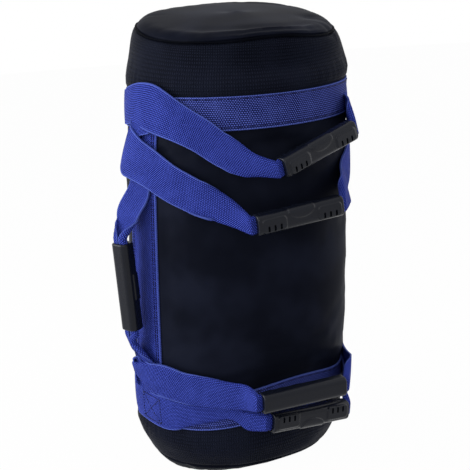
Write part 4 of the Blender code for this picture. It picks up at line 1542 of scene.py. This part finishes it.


# Leathercloth, with the pressed grid of the collars and painted shade in its grooves
LEATHER_SHINE = 0.011
SKIN_ROUGHNESS = 0.46
COLLAR_ROUGHNESS = 0.44
WELT_ROUGHNESS = 0.6
LEATHER_BLACK = (0.0045, 0.0055, 0.0105)
WELT_BLACK = (0.0014, 0.0018, 0.0034)
GRAIN_PITCH = 0.0011
GRAIN_DEPTH = 0.00012
GRAIN_STRENGTH = 0.6
DRIFT_PITCH = 0.060
DRIFT_LEVELS = (0.35, 0.7)
PALE_SHARE = 1.9
CELL_WIDTH = 0.0028
CELL_HEIGHT = 0.0024
CELL_WIDTH_SHARES = (0.40, 0.16)
CELL_HEIGHT_SHARES = (0.42, 0.24)
CELL_DEPTH = 0.0010
# How much paler the cell middles are painted than the pressed grooves between them, which stands for shade
# in the grooves
GROOVE_SHADE_CONTRAST = 2.5


def pressed_cells(tree):
    """Small pressed grid: 1 in the middle of each cell and 0 between the cells."""
    u, v = cloth_ways(tree)
    x = maths(tree, "ABSOLUTE", from_cell_middle(tree, maths(tree, "DIVIDE", u, CELL_WIDTH)))
    y = maths(tree, "ABSOLUTE", from_cell_middle(tree, maths(tree, "DIVIDE", v, CELL_HEIGHT)))
    return maths(tree, "MULTIPLY", ramp(tree, x, *CELL_WIDTH_SHARES), ramp(tree, y, *CELL_HEIGHT_SHARES))


def leather_finish(name, colour, roughness, embossed=False):
    """Near-black leathercloth with a fine grain, and on the collars a small pressed grid whose grooves are
    painted darker as shade.
    """
    material, tree, shader = new_finish(name, roughness, LEATHER_SHINE)
    places = object_places(tree)
    grain = noise_at(tree, places, GRAIN_PITCH, FINE_DETAIL)
    drift = ramp(tree, noise_at(tree, places, DRIFT_PITCH), *DRIFT_LEVELS)
    toned = blended(tree, drift, colour, tuple(channel * PALE_SHARE for channel in colour))
    normal = bumped(tree, grain, GRAIN_DEPTH, GRAIN_STRENGTH)
    if embossed:
        cell = pressed_cells(tree)
        normal = bumped(tree, cell, CELL_DEPTH, normal=normal)
        # Painted shade in the grooves of the pressed grid: the cell middles are painted paler than the
        # grooves
        toned = blended(tree, cell, toned, tuple(channel * GROOVE_SHADE_CONTRAST for channel in colour))
    coloured(tree, shader, toned, normal)
    return material


# Rubber, thread, and the relief that they and the inner finishes have
RUBBER_ROUGHNESS = 0.27
RUBBER_SHINE = 0.2
RUBBER_DARK = (0.003, 0.004, 0.0085)
RUBBER_PALE = (0.005, 0.0065, 0.0125)
THREAD_ROUGHNESS = 0.5
THREAD_SHINE = 0.15
THREAD_DARK = (0.004, 0.005, 0.030)
THREAD_PALE = (0.012, 0.016, 0.085)
SOFT_STRENGTH = 0.5


def rubber_finish():
    """Satin black moulded rubber."""
    material, tree, shader = new_finish("moulded_rubber", RUBBER_ROUGHNESS, RUBBER_SHINE)
    places = object_places(tree)
    broad = noise_at(tree, places, WEAR_PITCH)
    fine = bumped(tree, noise_at(tree, places, FIBRE_PITCH), GRAIN_DEPTH, SOFT_STRENGTH)
    coloured(tree, shader, blended(tree, broad, RUBBER_DARK, RUBBER_PALE), fine)
    return material


def thread_finish():
    """Dark blue sewing thread."""
    material, tree, shader = new_finish("sewing_thread", THREAD_ROUGHNESS, THREAD_SHINE)
    ply = noise_at(tree, object_places(tree), FIBRE_PITCH)
    tree.links.new(blended(tree, ply, THREAD_DARK, THREAD_PALE), shader.inputs["Base Color"])
    return material


def inner_finish(name):
    """Foam, sacking, cord or sand inside the bag."""
    dark, pale, pitch, roughness = INNER_FINISHES[name]
    material, tree, shader = new_finish(name, roughness)
    spots = noise_at(tree, object_places(tree), pitch, FINE_DETAIL)
    relief = bumped(tree, spots, pitch / 4, SOFT_STRENGTH)
    coloured(tree, shader, blended(tree, spots, dark, pale), relief)
    return material


# Each inner finish's two colours, the pitch of its spots in metres and its roughness
INNER_FINISHES = {
    "grey_foam": ((0.020, 0.020, 0.022), (0.035, 0.035, 0.038), 0.0015, 0.9),
    "woven_sack": ((0.52, 0.50, 0.43), (0.68, 0.66, 0.58), 0.0020, 0.8),
    "tie_cord": ((0.45, 0.40, 0.31), (0.62, 0.56, 0.45), 0.0012, 0.8),
    "sand": ((0.36, 0.26, 0.15), (0.58, 0.45, 0.29), 0.0008, 1.0),
}
INNER_NODES = {
    "bottom_padding": "grey_foam", "sand_sack": "woven_sack", "sack_tie": "tie_cord", "sand_fill": "sand",
}


def dress_inside():
    """Foam layers, and the finishes of the CAD nodes that show only when the bag is open."""
    finishes = {name: inner_finish(name) for name in INNER_FINISHES}
    foam_layers(finishes["grey_foam"])
    for name, finish in INNER_NODES.items():
        frame["nodes"][name].data.materials.clear()
        frame["nodes"][name].data.materials.append(finishes[finish])


# Floor, light and camera

FLOOR_RADIUS = 6.0
FLOOR_SIDES = 96
FLOOR_GAP = 0.0005
FLOOR_DARK = (0.72, 0.72, 0.72)
FLOOR_PALE = (0.75, 0.75, 0.75)
FLOOR_PITCH = 0.4
FLOOR_WHITE_SHARE = 0.98
WORLD_LIGHT = 0.36
CAMERA_AZIMUTH = math.radians(-34.4)
CAMERA_DISTANCE = 1.2
CAMERA_HEIGHT = 0.560
CAMERA_PITCH = math.radians(14.01)
CAMERA_YAW = math.radians(0.60)
CAMERA_ROLL = math.radians(4.0)
CAMERA_LENS = 81.2
CAMERA_SENSOR = 36.0
CLIP_START = 0.05

# Each lamp's azimuth and elevation in degrees, then its distance and size in metres and its power
LAMPS = {
    "left_softbox": (-115, 20, 1.6, 1.0, 1.6, 24),
    "right_softbox": (60, 20, 1.6, 1.0, 1.6, 6),
    "top_softbox": (-34, 70, 1.6, 1.4, 1.0, 3.2),
    "front_softbox": (-40, 25, 2.2, 1.6, 1.2, 10),
}


def seen_straight(tree):
    """1 for a ray from the camera, from a reflection or through a clear piece, else 0."""
    path = tree.nodes.new("ShaderNodeLightPath")
    seen = maths(tree, "MAXIMUM", path.outputs["Is Camera Ray"], path.outputs["Is Glossy Ray"])
    return maths(tree, "MAXIMUM", seen, path.outputs["Is Transmission Ray"])


def backdrop_finish(name):
    """Pale matt finish that the camera and reflections see nearly white."""
    material, tree, shader = new_finish(name, 1.0, 0.0)
    spots = noise_at(tree, object_places(tree), FLOOR_PITCH)
    tree.links.new(blended(tree, spots, FLOOR_DARK, FLOOR_PALE), shader.inputs["Base Color"])
    glow = tree.nodes.new("ShaderNodeEmission")
    mix = tree.nodes.new("ShaderNodeMixShader")
    tree.links.new(maths(tree, "MULTIPLY", seen_straight(tree), FLOOR_WHITE_SHARE), mix.inputs["Fac"])
    tree.links.new(shader.outputs["BSDF"], mix.inputs[1])
    tree.links.new(glow.outputs["Emission"], mix.inputs[2])
    tree.links.new(mix.outputs["Shader"], tree.nodes["Material Output"].inputs["Surface"])
    return material


def floor():
    """Wide plain floor."""
    ground = added(bpy.ops.mesh.primitive_circle_add, vertices=FLOOR_SIDES, radius=FLOOR_RADIUS,
                   fill_type="NGON")
    ground.name = "floor"
    ground.data.transform(Matrix.Translation((0, 0, -FLOOR_GAP)))
    ground.data.materials.append(backdrop_finish("pale_floor"))


def surroundings():
    """White surroundings that light the bag gently and show white to the camera."""
    bpy.context.scene.view_settings.view_transform = "Standard"
    world = bpy.data.worlds.new("surroundings")
    bpy.context.scene.world = world
    world.use_nodes = True
    tree = world.node_tree
    background = tree.nodes["Background"]
    background.inputs["Color"].default_value = (1.0, 1.0, 1.0, 1.0)
    strength = maths(tree, "MULTIPLY_ADD", seen_straight(tree), 1 - WORLD_LIGHT, WORLD_LIGHT)
    tree.links.new(strength, background.inputs["Strength"])


def softbox(name, azimuth, elevation, distance, width, height, power):
    """Rectangular lamp that faces the middle of the bag."""
    azimuth, elevation = azimuth * DEGREE, elevation * DEGREE
    lamp = bpy.data.lights.new(name, "AREA")
    lamp.shape = "RECTANGLE"
    lamp.size = width
    lamp.size_y = height
    lamp.energy = power
    holder = in_scene(name, lamp)
    away = heading(azimuth) * math.cos(elevation) + Vector((0, 0, math.sin(elevation)))
    holder.location = away * distance + Vector((0, 0, BAG_HEIGHT / 2))
    holder.rotation_euler = away.to_track_quat("Z", "Y").to_euler()


def camera():
    """Camera of the photograph: a little above the rim, turned to the left of the front."""
    eye = bpy.data.cameras.new("camera")
    eye.lens = CAMERA_LENS
    eye.sensor_width = CAMERA_SENSOR
    eye.clip_start = CLIP_START
    holder = in_scene("camera", eye)
    outward = heading(CAMERA_AZIMUTH)
    level_right = heading(CAMERA_AZIMUTH + math.pi / 2)
    ahead = -outward * math.cos(CAMERA_YAW) + level_right * math.sin(CAMERA_YAW)
    right = level_right * math.cos(CAMERA_YAW) + outward * math.sin(CAMERA_YAW)
    ahead = ahead * math.cos(CAMERA_PITCH) - Vector((0, 0, math.sin(CAMERA_PITCH)))
    up = right.cross(ahead)
    rolled_right = right * math.cos(CAMERA_ROLL) - up * math.sin(CAMERA_ROLL)
    rolled_up = right * math.sin(CAMERA_ROLL) + up * math.cos(CAMERA_ROLL)
    place = outward * CAMERA_DISTANCE + Vector((0, 0, CAMERA_HEIGHT))
    turn = Matrix((rolled_right, rolled_up, -ahead)).transposed().to_4x4()
    holder.matrix_world = Matrix.Translation(place) @ turn
    bpy.context.scene.camera = holder


# The whole trainer

# How tightly the padding fills each panel of the skin
PANEL_FILL_SHARES = {
    "top_panel": 0.8, "upper_collar": 0.85, "body_panel": 0.9, "lower_collar": 0.9, "bottom_panel": 0.9,
}


def bag(finishes):
    """The five panels of the skin, with the pressed leathercloth on the two collars."""
    for name, fill in PANEL_FILL_SHARES.items():
        leather = finishes["collar"] if name.endswith("_collar") else finishes["skin"]
        skin_panel(name, leather)
    seam_welt("top_seam_welt", "upper_collar", "top_panel", finishes["welt"])


def roll_before_mouth(length):
    """Lower edge of the upper rear strap: it curls outwards over the last stretch before the
    left mouth of the grip, and back elsewhere."""
    begun = smooth_step((length - ROLL_START) / ROLL_FADE)
    not_ended = smooth_step((ROLL_END - length) / ROLL_FADE)
    return 1 - 2 * begun * not_ended


def handles(finishes):
    """All straps and grips."""
    frames = handle_frames()
    ring_strap("upper_front", frames["upper_front"], finishes)
    ring_strap("upper_rear", frames["upper_rear"], finishes, lower_roll=roll_before_mouth)
    ring_strap("lower_front", frames["lower_front"], finishes, LOWER_FRONT_BOX)
    ring_strap("lower_rear", frames["lower_rear"], finishes)
    side_strap(-1, frames["left_side"], finishes)
    side_strap(1, frames["right_side"], finishes)
    grips(frames, finishes["rubber"])


def foam_layers(foam):
    """Cap and sleeve of foam that follow the dents of the skin."""
    rim = PANEL_LENGTHS["top_panel"]
    cap_end = rim + (PANEL_STARTS["body_panel"] - rim) * CAP_SHARE
    base = PANEL_STARTS["bottom_panel"]
    foam_layer("top_padding", 0, cap_end, TOP_FOAM, foam)
    foam_layer("padding_sleeve", cap_end + LAYER_GAP, base, WALL_FOAM, foam)


def main():
    """Dress the whole trainer."""
    # Webbing colours: painted shade in the gaps, painted highlights on the yarn tops, and the paler edge
    weave = (WEB_GAP_SHADE, WEB_TOP_HIGHLIGHT, WEB_EDGE)
    ring_weave = (RING_GAP_SHADE, RING_TOP_HIGHLIGHT, WEB_EDGE)
    finishes = {
        "skin": leather_finish("leathercloth", LEATHER_BLACK, SKIN_ROUGHNESS),
        "collar": leather_finish("pressed_leathercloth", LEATHER_BLACK, COLLAR_ROUGHNESS, True),
        "welt": leather_finish("turned_edge", WELT_BLACK, WELT_ROUGHNESS),
        "ring": webbing_finish("ring_webbing", RING_WIDTH, RING_YARN_PITCH, ring_weave, RING_YARN_LOW),
        "strip": webbing_finish("strip_webbing", STRIP_WIDTH, STRAP_YARN_PITCH, weave, lengthways=False),
        "strap": webbing_finish("strap_webbing", STRAP_WIDTH, STRAP_YARN_PITCH, weave),
        "thread": thread_finish(),
        "rubber": rubber_finish(),
    }
    settle_skin()
    bag(finishes)
    ring_bands(finishes)
    side_strips(finishes)
    handles(finishes)
    dress_inside()
    floor()
    surroundings()
    camera()
    for name, settings in LAMPS.items():
        softbox(name, *settings)


main()
